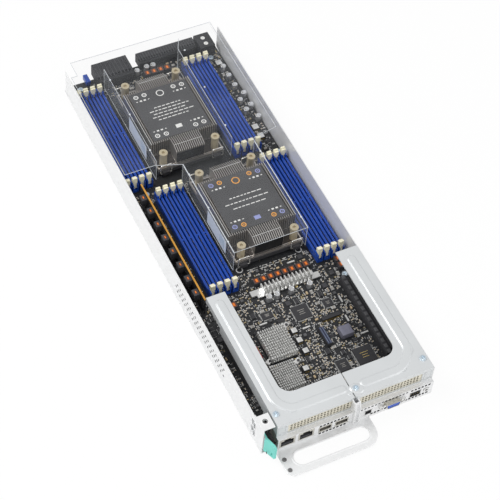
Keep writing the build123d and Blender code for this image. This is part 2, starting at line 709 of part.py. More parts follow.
def processor_socket(name):
    """Contact frame soldered to the board around the processor."""
    width = PROCESSOR_WIDTH + 2 * SOCKET_RIM
    length = PROCESSOR_LENGTH + 2 * SOCKET_RIM
    frame = block(0, 0, BOARD_TOP, width, length, SOCKET_FRAME_HEIGHT)
    seat_width = PROCESSOR_WIDTH + 2 * FACE_GAP
    seat = block(0, 0, BOARD_TOP + SHEET, seat_width, PROCESSOR_LENGTH + 2 * FACE_GAP, TOP_HEIGHT)
    return at_sink(name) * (frame - seat)


def processor(name):
    """Processor package: substrate with a stepped heat-spreader lid."""
    base = block(0, 0, BOARD_TOP + SHEET, PROCESSOR_WIDTH, PROCESSOR_LENGTH, SOCKET_FRAME_HEIGHT - SHEET)
    lid_width, lid_length = PROCESSOR_WIDTH - LID_MARGIN, PROCESSOR_LENGTH - LID_MARGIN
    lid = block(0, 0, FRAME_TOP, lid_width, lid_length, CARRIER_HEIGHT)
    return at_sink(name) * (base + lid)


def carrier(name):
    """Plastic carrier between socket and heat sink, with ears for the wire bails."""
    body = block(0, 0, FRAME_TOP, SINK_WIDTH, CARRIER_LENGTH, CARRIER_HEIGHT)
    window_width = PROCESSOR_WIDTH - LID_MARGIN + 2 * FACE_GAP
    window_length = PROCESSOR_LENGTH - LID_MARGIN + 2 * FACE_GAP
    body -= block(0, 0, 0, window_width, window_length, TOP_HEIGHT)
    cutters = []
    for i in (-1, 1):
        for j in (-1, 1):
            x = i * NUT_SPREAD_X
            ear_y = j * (CARRIER_LENGTH / 2 + EAR_DEPTH / 2)
            body += block(x, ear_y, FRAME_TOP, EAR_WIDTH, EAR_DEPTH, CARRIER_HEIGHT)
            bore_radius = BAIL_WIRE_RADIUS + BAIL_CLEARANCE
            cutters.append(span_rod_x(x - EAR_WIDTH, x + EAR_WIDTH, ear_y, BAIL_Z, bore_radius))
            cutters.append(rod(x, j * NUT_SPREAD_Y, 0, NUT_SHANK + FACE_GAP, TOP_HEIGHT))
            leg_y = j * NUT_SPREAD_Y
            body += block(x, leg_y, BOARD_TOP, 2 * LEG_RADIUS, 2 * LEG_RADIUS, SOCKET_FRAME_HEIGHT)
    return at_sink(name) * (body - cutters)


def fin_comb(width, y, length):
    """A row of upright fins with a fin on each outer side, running along Y."""
    count = round((width - FIN_THICKNESS) / FIN_PITCH)
    pitch = (width - FIN_THICKNESS) / count
    root = BASE_TOP - BASE_THICKNESS / 4
    points = [(-width / 2, root)]
    for i in range(count + 1):
        x = -width / 2 + i * pitch
        points += [(x, SINK_TOP), (x + FIN_THICKNESS, SINK_TOP)]
        if i < count:
            points += [(x + FIN_THICKNESS, BASE_TOP), (x + pitch, BASE_TOP)]
    points.append((width / 2, root))
    return slab_y(points, y, length)


def heatsink(name):
    """Heat sink: base plate, wide fin block and a narrow sloped fin step at each end."""
    base = block(0, 0, CARRIER_TOP, SINK_WIDTH, BASE_LENGTH, BASE_THICKNESS)
    sink = base + fin_comb(SINK_WIDTH, -SINK_BODY / 2, SINK_BODY)
    end_length = (SINK_LENGTH - SINK_BODY) / 2
    cutters = []
    for side in (-1, 1):
        start = min(side * SINK_BODY / 2, side * SINK_LENGTH / 2)
        sink += fin_comb(SINK_END_WIDTH, start, end_length)
        slope = [
            (side * (SINK_LENGTH / 2 - SLOPE_LENGTH), SINK_TOP),
            (side * (SINK_LENGTH / 2 + SHEET), SINK_TOP - SLOPE_DROP),
            (side * (SINK_LENGTH / 2 + SHEET), TOP_HEIGHT),
            (side * (SINK_LENGTH / 2 - SLOPE_LENGTH), TOP_HEIGHT),
        ]
        cutters.append(slab_x(slope, 0, SINK_END_WIDTH + SHEET))
        for i in (-1, 1):
            x, y = i * NUT_SPREAD_X, side * NUT_SPREAD_Y
            cutters.append(rod(x, y, 0, NUT_SHANK + FACE_GAP, TOP_HEIGHT))
    return at_sink(name) * (sink - cutters)


def heatsink_label(name):
    """Thin sheet on the fin tops that closes the fin channels from above."""
    sheet = block(0, 0, SINK_TOP, LABEL_WIDTH, LABEL_LENGTH, LABEL_THICKNESS)
    return at_sink(name) * sheet


def torque_nut(x, y):
    """Tall captive nut: sleeve on the base, shank through it, star recess on top."""
    sleeve = rod(x, y, BASE_TOP, NUT_RADIUS, NUT_TOP - BASE_TOP)
    sleeve += rod(x, y, NUT_TOP - NUT_COLLAR, NUT_RADIUS + NUT_RIM, NUT_COLLAR)
    shank_z = BOARD_TOP + SOCKET_FRAME_HEIGHT
    recess = Pos(x, y, NUT_TOP - NUT_RECESS) * extrude(RegularPolygon(NUT_RADIUS / 2, 6), TOP_HEIGHT)
    return sleeve + rod(x, y, shank_z, NUT_SHANK, BASE_TOP - shank_z) - recess


def wire_bail(x, y):
    """One bent wire arch whose feet turn in to the carrier ear's bore."""
    foot = EAR_WIDTH / 2 - BAIL_GRIP
    half = BAIL_WIDTH / 2
    top = BAIL_Z + BAIL_HEIGHT
    path = FilletPolyline(
        (x - foot, y, BAIL_Z), (x - half, y, BAIL_Z), (x - half, y, top),
        (x + half, y, top), (x + half, y, BAIL_Z), (x + foot, y, BAIL_Z),
        radius=BAIL_BEND,
    )
    section = Plane((x - foot, y, BAIL_Z), z_dir=(-1, 0, 0)) * RegularPolygon(BAIL_WIRE_RADIUS, 6)
    return sweep(section, path=path)


def end_bails(name, side):
    """The two wire bails at one end of a heat sink, on one axis."""
    x, y = SINKS[name]
    bail_y = y + side * (CARRIER_LENGTH / 2 + EAR_DEPTH / 2)
    return [wire_bail(x + i * NUT_SPREAD_X, bail_y) for i in (-1, 1)]


def duct_wall(points):
    """A vertical duct wall along a plan line, from the top sheet down to the foot."""
    wall = None
    for (x0, y0), (x1, y1) in zip(points, points[1:]):
        run = Vector(x1 - x0, y1 - y0)
        side = run.rotate(Axis.Z, 90).normalized() * DUCT_SHEET / 2
        corners = [
            (x0 + side.X, y0 + side.Y), (x1 + side.X, y1 + side.Y),
            (x1 - side.X, y1 - side.Y), (x0 - side.X, y0 - side.Y),
        ]
        piece = plate(corners, DUCT_FOOT + BOARD_TOP, DUCT_BOTTOM - DUCT_FOOT - BOARD_TOP)
        wall = piece if wall is None else wall + piece
    return wall


def air_duct():
    """Clear duct: one top sheet over the processors and a wall beside each heat sink."""
    near_left, near_right = LEFT_SIDES["near"], RIGHT_SIDES["near"]
    far_left, far_right = LEFT_SIDES["far"], RIGHT_SIDES["far"]
    outer = INNER - FACE_GAP - SHEET
    near_end, far_start = DUCT_SHOULDER - WALL_BACK, DUCT_SHOULDER + WALL_FORE
    outline = [
        (-outer, DUCT_SHOULDER), (far_left - DUCT_FOOT, DUCT_SHOULDER), (near_left, near_end),
        (near_left, DUCT_NEAR_END), (near_right, DUCT_NEAR_END), (near_right, near_end + DUCT_FOOT),
        (DUCT_RIGHT, DUCT_SHOULDER), (DUCT_RIGHT, DUCT_FAR_END), (DUCT_LEFT, DUCT_FAR_END),
        (DUCT_LEFT, DUCT_STEP), (-outer, DUCT_STEP),
    ]
    duct = plate(outline, DUCT_BOTTOM, DUCT_SHEET)
    inset = DUCT_SHEET / 2
    duct += duct_wall([(near_left + inset, DUCT_NEAR_END), (near_left + inset, near_end)])
    duct += duct_wall([(near_right - inset, DUCT_NEAR_END), (near_right - inset, near_end)])
    duct += duct_wall([(far_left + inset, far_start), (far_left + inset, DUCT_END_LEFT)])
    duct += duct_wall([
        (far_right + inset, far_start), (far_right + inset, DUCT_FLARE),
        (far_right + inset + DUCT_SPLAY, DUCT_END_RIGHT),
    ])
    near_feet = (DUCT_NEAR_END + FOOT_INSET, near_end - FOOT_INSET)
    far_feet = (far_start + FOOT_INSET, DUCT_FLARE - FOOT_INSET)
    for x, feet in (
        (near_left + inset, near_feet), (near_right - inset, near_feet),
        (far_left + inset, far_feet), (far_right + inset, far_feet),
    ):
        for y in feet:
            duct += block(x, y, BOARD_TOP, DUCT_SHEET, 4 * DUCT_SHEET, DUCT_FOOT + DUCT_SHEET)
    lip = DUCT_BOTTOM - DUCT_SHEET
    lip_start = DUCT_RIGHT - DUCT_SHEET
    return duct + span(lip_start, DUCT_RIGHT, DUCT_SHOULDER, DUCT_FAR_END, lip, DUCT_BOTTOM)


def bead(line):
    """Raised bead along a bent line on a bracket's top plate, with round ends."""
    half = BEAD_WIDTH / 2
    shape = None
    for (x0, y0), (x1, y1) in zip(line, line[1:]):
        run = Vector(x1 - x0, y1 - y0)
        turn = math.degrees(math.atan2(run.Y, run.X))
        middle = Pos((x0 + x1) / 2, (y0 + y1) / 2)
        part = middle * SlotCenterToCenter(run.length, 2 * half, rotation=turn)
        shape = part if shape is None else shape + part
    return Pos(0, 0, PLATE_TOP) * extrude(shape, BEAD_HEIGHT, dir=(0, 0, 1))


def cover_opening(x):
    """Cutter for the expansion-slot window in a bracket's front flange."""
    return block(x, 0, COVER_Z, COVER_LENGTH, 6 * SHEET, COVER_HEIGHT)


def screw_cutter(place):
    """Cutter for one screw hole right through a bracket."""
    return rod(*place, 0, SCREW_RADIUS + SCREW_CLEARANCE, TOP_HEIGHT + 1)


def bracket_left():
    """Left riser bracket: L-shaped top plate with a side flange and a front flange."""
    arm_end = PANEL_LEFT + LEFT_ARM_WIDTH
    right = SPLIT_X - SPLIT_GAP / 2
    outline = [
        (PANEL_LEFT, 0), (right, 0), (right, LEFT_STRIP), (arm_end, LEFT_STRIP),
        (arm_end, BRACKET_REACH), (PANEL_LEFT, BRACKET_REACH),
    ]
    bracket = plate(outline, PLATE_BOTTOM, BRACKET_SHEET, WINDOW_RADIUS, (3,))
    bracket += span(PANEL_LEFT, right, 0, BRACKET_SHEET, PANEL_TOP, PLATE_BOTTOM)
    flange_end = PANEL_LEFT + BRACKET_SHEET
    bracket += span(PANEL_LEFT, flange_end, 0, BRACKET_REACH, SIDE_FLANGE_Z, PLATE_BOTTOM)
    notch_top = SIDE_FLANGE_Z + FLANGE_NOTCH[1]
    notch_start = BRACKET_REACH - FLANGE_NOTCH[0]
    bracket -= span(PANEL_LEFT - SHEET, flange_end + SHEET, notch_start, BRACKET_REACH + SHEET, 0, notch_top)
    bracket += bead(LEFT_BEAD)
    cutters = [cover_opening(COVER_X[0]), screw_cutter(BRACKET_SCREWS[0])]
    return bracket - cutters


def bracket_right():
    """Right riser bracket: L-shaped top plate with a side flange and a front flange."""
    right = INNER - FACE_GAP
    arm_start = right - RIGHT_ARM_WIDTH
    left = SPLIT_X + SPLIT_GAP / 2
    outline = [
        (left, 0), (right, 0), (right, BRACKET_REACH), (arm_start, BRACKET_REACH),
        (arm_start, RIGHT_STRIP), (left, RIGHT_STRIP),
    ]
    bracket = plate(outline, PLATE_BOTTOM, BRACKET_SHEET, WINDOW_RADIUS, (4,))
    bracket += span(left, right, 0, BRACKET_SHEET, PANEL_TOP, PLATE_BOTTOM)
    bracket += span(right - BRACKET_SHEET, right, 0, BRACKET_REACH, SIDE_FLANGE_Z, PLATE_BOTTOM)
    bracket += bead(RIGHT_BEAD)
    cutters = [cover_opening(COVER_X[1])] + [screw_cutter(place) for place in BRACKET_SCREWS[1:]]
    return bracket - cutters


def slot_cover(x):
    """Perforated cover plate behind one expansion-slot window."""
    half = COVER_LENGTH / 2 + SHEET
    cover_top = COVER_Z + COVER_HEIGHT + SHEET
    back = BRACKET_SHEET + COVER_SHEET
    cover = span(x - half, x + half, BRACKET_SHEET, back, COVER_Z - COVER_LAP, cover_top)
    columns = int(COVER_LENGTH / COVER_PITCH) - 1
    row_pitch = COVER_HEIGHT / COVER_ROWS
    cutters = []
    for i in range(columns):
        for j in range(COVER_ROWS):
            hole_x = x + (i - (columns - 1) / 2) * COVER_PITCH
            hole_z = COVER_Z + (j + 0.5) * row_pitch - COVER_HOLE / 2
            cutters.append(block(hole_x, BRACKET_SHEET, hole_z, COVER_HOLE, 4 * SHEET, COVER_HOLE))
    return cover - cutters


def riser_card():
    """Tall narrow circuit card that stands beside the left wall."""
    half = CARD_THICKNESS / 2
    card = span(CARD_X - half, CARD_X + half, *CARD_Y, CARD_Z, CARD_TOP)
    start = CARD_Y[0]
    corner = [
        (start - 1, CARD_TOP - CARD_BEVEL),
        (start - 1, CARD_TOP + 1),
        (start + CARD_BEVEL, CARD_TOP + 1),
    ]
    return card - slab_x(corner, CARD_X, 4 * CARD_THICKNESS)


def riser_card_socket():
    """Socket on the board that grips the lower edge of the tall card."""
    low, high = CARD_Y[0] + CARD_SOCKET_INSET, CARD_Y[1] - CARD_SOCKET_INSET
    body = span(CARD_X - CARD_GRIP, CARD_X + CARD_GRIP, low, high, BOARD_TOP, CARD_SOCKET_TOP)
    half = CARD_THICKNESS / 2 + SCREW_CLEARANCE
    return body - span(CARD_X - half, CARD_X + half, low - 1, high + 1, CARD_Z, TOP_HEIGHT)


def card_coils():
    """Row of coils on the wall side of the tall card."""
    depth, length, height = CARD_COIL
    first = CARD_Y[0] + CARD_COIL_INSET
    pitch = (CARD_Y[1] - CARD_COIL_INSET - first) / (CARD_COIL_COUNT - 1)
    x = CARD_X - CARD_THICKNESS / 2 - depth / 2
    base = CARD_TOP - CARD_COIL_DROP
    return [block(x, first + i * pitch, base, depth, length, height) for i in range(CARD_COIL_COUNT)]


def riser_slot(x, y0, y1):
    """Edge-card slot connector on the board under a riser bracket."""
    top, floor_z = BOARD_TOP + SLOT_HEIGHT, BOARD_TOP + SLOT_FLOOR
    half = CARD_SLOT / 2
    body = span(x - SLOT_WIDTH / 2, x + SLOT_WIDTH / 2, y0, y1, BOARD_TOP, top)
    mouth = span(x - half, x + half, y0 + SLOT_END, y1 - SLOT_END, floor_z, TOP_HEIGHT)
    key = span(x - half, x + half, y0 + SLOT_KEY[0], y0 + SLOT_KEY[1], floor_z, top)
    return body - mouth + key


def network_port(x):
    """Network jack: square mouth with a latch notch at the bottom."""
    half = NETWORK_PORT_WIDTH / 2
    top = BOARD_TOP + NETWORK_PORT_HEIGHT
    body = span(x - half, x + half, PANEL_Y, PANEL_Y + NETWORK_PORT_DEPTH, BOARD_TOP, top)
    mouth_z = BOARD_TOP + JACK_SILL
    start, end = PANEL_Y - 1, PANEL_Y + NETWORK_PORT_DEPTH - PORT_BACK
    width, height = JACK_MOUTH
    mouth = span(x - width / 2, x + width / 2, start, end, mouth_z, mouth_z + height)
    key_width, key_height = JACK_KEY
    key_z = mouth_z + height
    key = span(x - key_width / 2, x + key_width / 2, start, end, key_z, key_z + key_height)
    return body - mouth - key


def cage_port(x):
    """Low cage port with a wide slot mouth."""
    half = CAGE_PORT_WIDTH / 2
    end = PANEL_Y + CAGE_PORT_DEPTH
    body = span(x - half, x + half, PANEL_Y, end, BOARD_TOP, BOARD_TOP + CAGE_PORT_HEIGHT)
    mouth_half = half - CAGE_WALL
    sill = BOARD_TOP + 2 * CAGE_WALL
    mouth_top = BOARD_TOP + CAGE_PORT_HEIGHT - 2 * CAGE_WALL
    mouth_end = end - CAGE_BACK
    return body - span(x - mouth_half, x + mouth_half, PANEL_Y - 1, mouth_end, sill, mouth_top)


def video_outline(grow):
    """Corners of the tapered video-port shell, larger at the top."""
    top = VIDEO_PORT_WIDTH / 2 + grow
    bottom = top - VIDEO_TAPER
    z0, z1 = VIDEO_PORT_Z - grow, VIDEO_PORT_Z + VIDEO_PORT_HEIGHT + grow
    return [
        (VIDEO_PORT_X - bottom, z0), (VIDEO_PORT_X + bottom, z0),
        (VIDEO_PORT_X + top, z1), (VIDEO_PORT_X - top, z1),
    ]


def video_port_shell():
    """Metal shell and rear box of the video port."""
    front = PANEL_Y - SHELL_PROUD
    shell = slab_y(video_outline(-SHELL_INSET), front, SHELL_PROUD + SHEET)
    half = JACK_SPREAD + VIDEO_BOX_MARGIN
    box_top = VIDEO_PORT_Z + VIDEO_PORT_HEIGHT + SHEET
    box_start = PANEL_Y + SHEET
    box_end = box_start + VIDEO_BOX
    shell += span(VIDEO_PORT_X - half, VIDEO_PORT_X + half, box_start, box_end, BOARD_TOP, box_top)
    shell -= slab_y(video_outline(-SHELL_BORE), front - 1, SHELL_PROUD + VIDEO_BOX / 2)
    for side in (-1, 1):
        x = VIDEO_PORT_X + side * JACK_SPREAD
        z = VIDEO_PORT_Z + VIDEO_PORT_HEIGHT / 2
        shell -= span_rod_y(PANEL_Y - 1, PANEL_Y + JACK_SHANK + 1, x, z, JACK_RADIUS + SCREW_CLEARANCE)
    return shell


def video_port_insert():
    """Blue plastic insert of the video port, with three rows of contact holes."""
    front = PANEL_Y - SHELL_PROUD
    insert = slab_y(video_outline(-INSERT_INSET), front + SHELL_INSET, SHELL_PROUD + VIDEO_BOX / 4)
    pitch_x, pitch_z = CONTACT_PITCH
    holes = []
    for row in range(3):
        for column in range(5):
            x = VIDEO_PORT_X + (column - 2 + (row % 2) / 2 - 0.25) * pitch_x
            z = VIDEO_PORT_Z + (VIDEO_PORT_HEIGHT - CONTACT_SIZE) / 2 + (row - 1) * pitch_z
            holes.append(block(x, front, z, CONTACT_SIZE, 4, CONTACT_SIZE))
    return insert - holes


def jack_screw(side):
    """Hexagonal jack post with a threaded bore, beside the video port."""
    x = VIDEO_PORT_X + side * JACK_SPREAD
    z = VIDEO_PORT_Z + VIDEO_PORT_HEIGHT / 2
    front = PANEL_Y - JACK_HEAD
    hexagon = Plane((x, front, z), z_dir=(0, 1, 0)) * RegularPolygon(JACK_HEAD_RADIUS, 6)
    post = extrude(hexagon, JACK_HEAD, dir=(0, 1, 0))
    post += span_rod_y(PANEL_Y, PANEL_Y + JACK_SHANK, x, z, JACK_RADIUS)
    return post - span_rod_y(front - 1, front + JACK_BORE_DEPTH, x, z, JACK_BORE)


def small_port(x, width, height, depth):
    """Small dark port with a mouth and a tongue inside."""
    end = PANEL_Y + depth
    body = span(x - width / 2, x + width / 2, PANEL_Y, end, BOARD_TOP, BOARD_TOP + height)
    mouth_width, mouth_height = width - 2 * PORT_WALL, height - 2 * PORT_WALL
    mouth_depth = 2 * (depth - PORT_BACK)
    body -= block(x, PANEL_Y, BOARD_TOP + PORT_WALL, mouth_width, mouth_depth, mouth_height)
    tongue_z = BOARD_TOP + height / 2
    return body + block(x, PANEL_Y + depth / 2, tongue_z, mouth_width, depth - 1, PORT_TONGUE)


def power_button():
    """Round push button with its stem in the switch body behind it."""
    cap_end = PANEL_Y + 3 * SHEET
    cap = span_rod_y(PANEL_Y - BUTTON_PROUD, cap_end, BUTTON_X, BUTTON_Z, BUTTON_RADIUS)
    stem_end = SWITCH_Y + SWITCH_BORE / 2
    return cap + span_rod_y(cap_end, stem_end, BUTTON_X, BUTTON_Z, BUTTON_STEM)


def button_switch():
    """Switch body on the board, with a blind bore for the button's stem."""
    width, length, height = SWITCH_SIZE
    body = block(BUTTON_X, SWITCH_Y + length / 2, BOARD_TOP, width, length, height)
    bore = BUTTON_STEM + FACE_GAP
    return body - span_rod_y(SWITCH_Y - 1, SWITCH_Y + SWITCH_BORE, BUTTON_X, BUTTON_Z, bore)


def coil(x, y):
    """Voltage coil: square body with a sunken middle band."""
    body = block(x, y, BOARD_TOP, COIL_SIZE, COIL_SIZE, COIL_HEIGHT)
    band_width, band_depth = COIL_BAND
    band_length = COIL_SIZE - 2 * SHEET
    return body - block(x, y, BOARD_TOP + COIL_HEIGHT - band_depth, band_width, band_length, SHEET)


def bar_heatsink():
    """Low finned bar with an ear at each end."""
    x0, x1 = BAR_X
    y0, y1 = BAR_Y
    z0, floor_z, top = BOARD_TOP + SHEET, BOARD_TOP + BAR_BASE, BAR_TOP
    pitch = (x1 - x0) / (BAR_FINS - 1)
    points = [(x0 - BAR_EAR, z0)]
    points += [(x0 - BAR_EAR, floor_z), (x0, floor_z)]
    for i in range(BAR_FINS):
        x = x0 + i * pitch
        points += [(x, top), (x + BAR_FIN, top), (x + BAR_FIN, floor_z)]
        if i < BAR_FINS - 1:
            points.append((x + pitch, floor_z))
    points += [(x1 + BAR_EAR, floor_z), (x1 + BAR_EAR, z0)]
    bar = slab_y(points, y0, y1 - y0)
    cutters = []
    notch_width, notch_length = BAR_NOTCH
    for x, y, side in ((x0 - BAR_EAR, y0, -1), (x1 + BAR_EAR, y1, 1)):
        cutters.append(block(x, y, 0, 2 * notch_width, 2 * notch_length, floor_z + SHEET))
        bar += rod(x - side * BAR_POST_INSET, (y0 + y1) / 2, BOARD_TOP, BAR_POST, 1.5 * SHEET)
    return bar - cutters


def pin_fin_heatsink(x, y, width, length):
    """Square pin-fin heat sink: fins along Y crossed by saw cuts along X."""
    z0 = BOARD_TOP + PIN_CHIP_HEIGHT
    sink = block(x, y, z0, width, length, PIN_TOP - z0)
    cutters = []
    floor_z = z0 + PIN_BASE
    for i in range(1, PIN_COLUMNS):
        pitch = width / PIN_COLUMNS
        cut_x = x - width / 2 + i * pitch
        cutters.append(block(cut_x, y, floor_z, pitch * PIN_CUT_X, length + 2, TOP_HEIGHT))
    for i in range(1, PIN_ROWS):
        pitch = length / PIN_ROWS
        cut_y = y - length / 2 + i * pitch
        cutters.append(block(x, cut_y, floor_z, width + 2, pitch * PIN_CUT_Y, TOP_HEIGHT))
    return sink - cutters


def pin_chip(x, y, width, length):
    """Chip package that carries a pin-fin heat sink."""
    return block(x, y, BOARD_TOP, width - PIN_CHIP_INSET, length - PIN_CHIP_INSET, PIN_CHIP_HEIGHT)


def mating_connector(x0, x1, y0, y1, top, blades):
    """Mating-end connector with a row of upright blade slots in its far face."""
    body = span(x0, x1, y0, y1, BOARD_TOP, top)
    first = x0 + BLADE_WALL
    pitch = (x1 - BLADE_WALL - first) / blades
    height = top - BOARD_TOP - 2 * BLADE_WALL
    cutters = [
        block(first + (i + 0.5) * pitch, y1, BOARD_TOP + BLADE_WALL, BLADE_SLOT * pitch, 2 * BLADE_DEPTH, height)
        for i in range(blades)
    ]
    step = span(x0 - 1, x1 + 1, y0 - 1, y0 + MATING_STEP[0], top - MATING_STEP[1], top + 1)
    return body - cutters - step


def guide_block():
    """Guide block at the mating end, with two upright holes and a pin socket."""
    x0, x1, y0, y1, top = GUIDE
    body = span(x0, x1, y0, y1, BOARD_TOP, top)
    middle = (x0 + x1) / 2
    for offset in GUIDE_HOLES:
        body -= rod(middle, y0 + offset, top - GUIDE_HOLE_DEPTH, GUIDE_HOLE_RADIUS, GUIDE_HOLE_DEPTH + 1)
    z = (BOARD_TOP + top) / 2 - 1
    return body - span_rod_y(y1 - GUIDE_BORE_DEPTH, y1 + 1, middle, z, GUIDE_BORE)


def plain_block(size):
    """A chip or connector body standing on the board."""
    x, y, width, length, height = size
    return block(x, y, BOARD_TOP, width, length, height)


def card_connector():
    """Low card connector with a slot along its near side."""
    x, y, width, length, height = CARD_CONNECTOR
    body = block(x, y, BOARD_TOP, width, length, height)
    return body - block(x, y - length / 2, BOARD_TOP + 1.2, width - 3, length, 1.0)


def mezzanine_connector():
    """Narrow mezzanine connector with a rim round a sunken contact rib."""
    x, y, width, length, height = MEZZANINE
    body = block(x, y, BOARD_TOP, width, length, height)
    body -= block(x, y, BOARD_TOP + 2, width - 1.4, length - 1.4, height)
    return body + block(x, y, BOARD_TOP + 1, 1.4, length - 4, height - 2)


def coil_row(row):
    """A straight row of voltage coils."""
    x, y, pitch, count = row
    return [coil(x + i * pitch, y) for i in range(count)]


def capacitor(x, y):
    """Round can capacitor."""
    return rod(x, y, BOARD_TOP, CAPACITOR_RADIUS, CAPACITOR_HEIGHT)


def handle_rivet(x, y):
    """Low round-headed rivet of the handle plate, with a driving mark."""
    head = rod(x, y, HANDLE_TOP, RIVET_HEAD, RIVET_RISE)
    mark = block(x, y, HANDLE_TOP + RIVET_RISE / 2, RIVET_HEAD, RIVET_RISE, RIVET_RISE)
    return head + rod(x, y, SHEET, SCREW_RADIUS, HANDLE_SHEET) - mark


def build_chassis():
    """Write the tray, port panel, handle and release strip."""
    put("chassis_tray", chassis_tray())
    put("io_panel", io_panel())
    put("divider_post", divider_post())
    put("pull_handle", pull_handle())
    put("handle_screws", *[handle_rivet(*place) for place in HANDLE_SCREWS])
    put("latch_root", latch_root())
    put("latch_rivets", *latch_rivets())
    put("latch_arm", latch_arm())
    put("latch_tab", latch_tab())


def build_board():
    """Write the main board, its standoffs and screws, and the parts soldered to it."""
    put("main_board", main_board())
    put("board_standoffs", *[standoff(x, y) for x, y in BOARD_SCREWS])
    shank = BOARD_THICKNESS + STANDOFF_HEIGHT / 2
    put("board_screws", *[pan_screw(x, y, BOARD_TOP, shank) for x, y in BOARD_SCREWS])
    coils = coil_row(COIL_ROW) + coil_row(FAR_COIL_ROW) + [coil(*LOOSE_COIL)]
    x, clear, pitch, count = SIDE_COILS
    bank_end = BANKS["near_right"][1] - SOCKET_LENGTH / 2
    coils += [coil(x, bank_end - clear - i * pitch) for i in range(count)]
    put("voltage_coils", *coils)
    put("capacitors", *[capacitor(x, y) for x, y in CAPACITORS])
    put("bar_heatsink", bar_heatsink())
    put("pin_fin_heatsinks", *[pin_fin_heatsink(*size) for size in PIN_SINKS])
    put("chips", *[plain_block(size) for size in CHIPS], *[pin_chip(*size) for size in PIN_SINKS])
    put("board_connectors", mezzanine_connector(), card_connector(), plain_block(SQUARE_BLOCK))
    put("edge_connectors", riser_slot(*LEFT_SLOT), riser_slot(*RIGHT_SLOT), riser_card_socket())
    put("riser_card", riser_card())
    put("card_coils", *card_coils())
    put("power_connector", mating_connector(*POWER_CONNECTOR, 6))
    put("signal_connector", mating_connector(*SIGNAL_CONNECTOR, 12))
    put("guide_block", guide_block())


def build_memory():
    """Write the four memory banks and the latches at both ends of each."""
    for name in BANKS:
        put(f"memory_sockets_{name}", *bank(name))
        put(f"latches_{name}_inner", *bank_latches(name, -1))
        put(f"latches_{name}_outer", *bank_latches(name, 1))


def build_processors():
    """Write the sockets, processors, carriers and heat sinks."""
    put("processor_sockets", *[processor_socket(name) for name in SINKS])
    put("processors", *[processor(name) for name in SINKS])
    put("processor_carriers", *[carrier(name) for name in SINKS])
    put("heatsink_labels", *[heatsink_label(name) for name in SINKS])
    put("torque_nuts", *[torque_nut(*place) for name in SINKS for place in nut_places(name)])
    for name in SINKS:
        put(f"heatsink_{name}", heatsink(name))
        put(f"wire_bails_{name}_inner", *end_bails(name, -1))
        put(f"wire_bails_{name}_outer", *end_bails(name, 1))


def build_ports():
    """Write the ports behind the panel and the button."""
    put("network_ports", *[network_port(x) for x in NETWORK_PORT_X])
    put("cage_ports", *[cage_port(x) for x in CAGE_PORT_X])
    put("video_port_shell", video_port_shell())
    put("video_port_insert", video_port_insert())
    put("jack_screws", jack_screw(-1), jack_screw(1))
    put(
        "small_ports",
        small_port(SMALL_PORT_X, SMALL_PORT_SIZE, SMALL_PORT_SIZE, 12),
        small_port(DATA_PORT_X, DATA_PORT_WIDTH, DATA_PORT_HEIGHT, 16),
    )
    put("power_button", power_button())
    put("button_switch", button_switch())


def build_covers():
    """Write the riser brackets, slot covers, bracket screws and the air duct."""
    put("riser_bracket_left", bracket_left())
    put("riser_bracket_right", bracket_right())
    put("slot_covers", *[slot_cover(x) for x in COVER_X])
    put("bracket_screws", *[pan_screw(x, y, PLATE_TOP, BRACKET_SHEET) for x, y in BRACKET_SCREWS])
    put("air_duct", air_duct())


os.makedirs("parts", exist_ok=True)
build_chassis()
build_board()
build_memory()
build_processors()
build_ports()
build_covers()
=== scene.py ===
"""Looks for one compute node of a rack server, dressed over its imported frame."""
from __future__ import annotations

import logging
import math
import random
from dataclasses import dataclass, field
from enum import Enum

import bmesh
import bpy
from mathutils import Matrix, Vector


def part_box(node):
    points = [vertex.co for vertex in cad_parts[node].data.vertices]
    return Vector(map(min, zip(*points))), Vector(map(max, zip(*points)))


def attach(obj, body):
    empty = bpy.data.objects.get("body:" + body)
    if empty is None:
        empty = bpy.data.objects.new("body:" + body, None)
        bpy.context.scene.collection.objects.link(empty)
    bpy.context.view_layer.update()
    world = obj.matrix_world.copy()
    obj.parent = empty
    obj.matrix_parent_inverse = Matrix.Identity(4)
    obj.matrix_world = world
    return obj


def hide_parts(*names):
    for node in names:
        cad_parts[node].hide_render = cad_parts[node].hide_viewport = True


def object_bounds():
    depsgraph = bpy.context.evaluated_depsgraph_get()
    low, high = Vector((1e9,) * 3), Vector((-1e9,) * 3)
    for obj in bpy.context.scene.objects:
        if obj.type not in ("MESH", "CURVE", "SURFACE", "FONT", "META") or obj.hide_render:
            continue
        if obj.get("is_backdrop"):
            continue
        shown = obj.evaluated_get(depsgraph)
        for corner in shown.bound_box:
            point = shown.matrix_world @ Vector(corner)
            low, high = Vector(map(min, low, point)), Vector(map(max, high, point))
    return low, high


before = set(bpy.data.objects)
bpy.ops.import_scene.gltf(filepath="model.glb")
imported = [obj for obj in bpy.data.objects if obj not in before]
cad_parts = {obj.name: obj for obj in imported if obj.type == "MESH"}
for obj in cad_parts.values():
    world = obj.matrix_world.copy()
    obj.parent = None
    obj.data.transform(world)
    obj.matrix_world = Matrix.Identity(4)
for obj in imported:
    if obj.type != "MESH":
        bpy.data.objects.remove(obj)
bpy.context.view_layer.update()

LOG = logging.getLogger("compute_node")
MM = 0.001
CHASSIS = "chassis"
Color = tuple[float, float, float]
Point = tuple[float, float, float]
Flat = tuple[float, float]


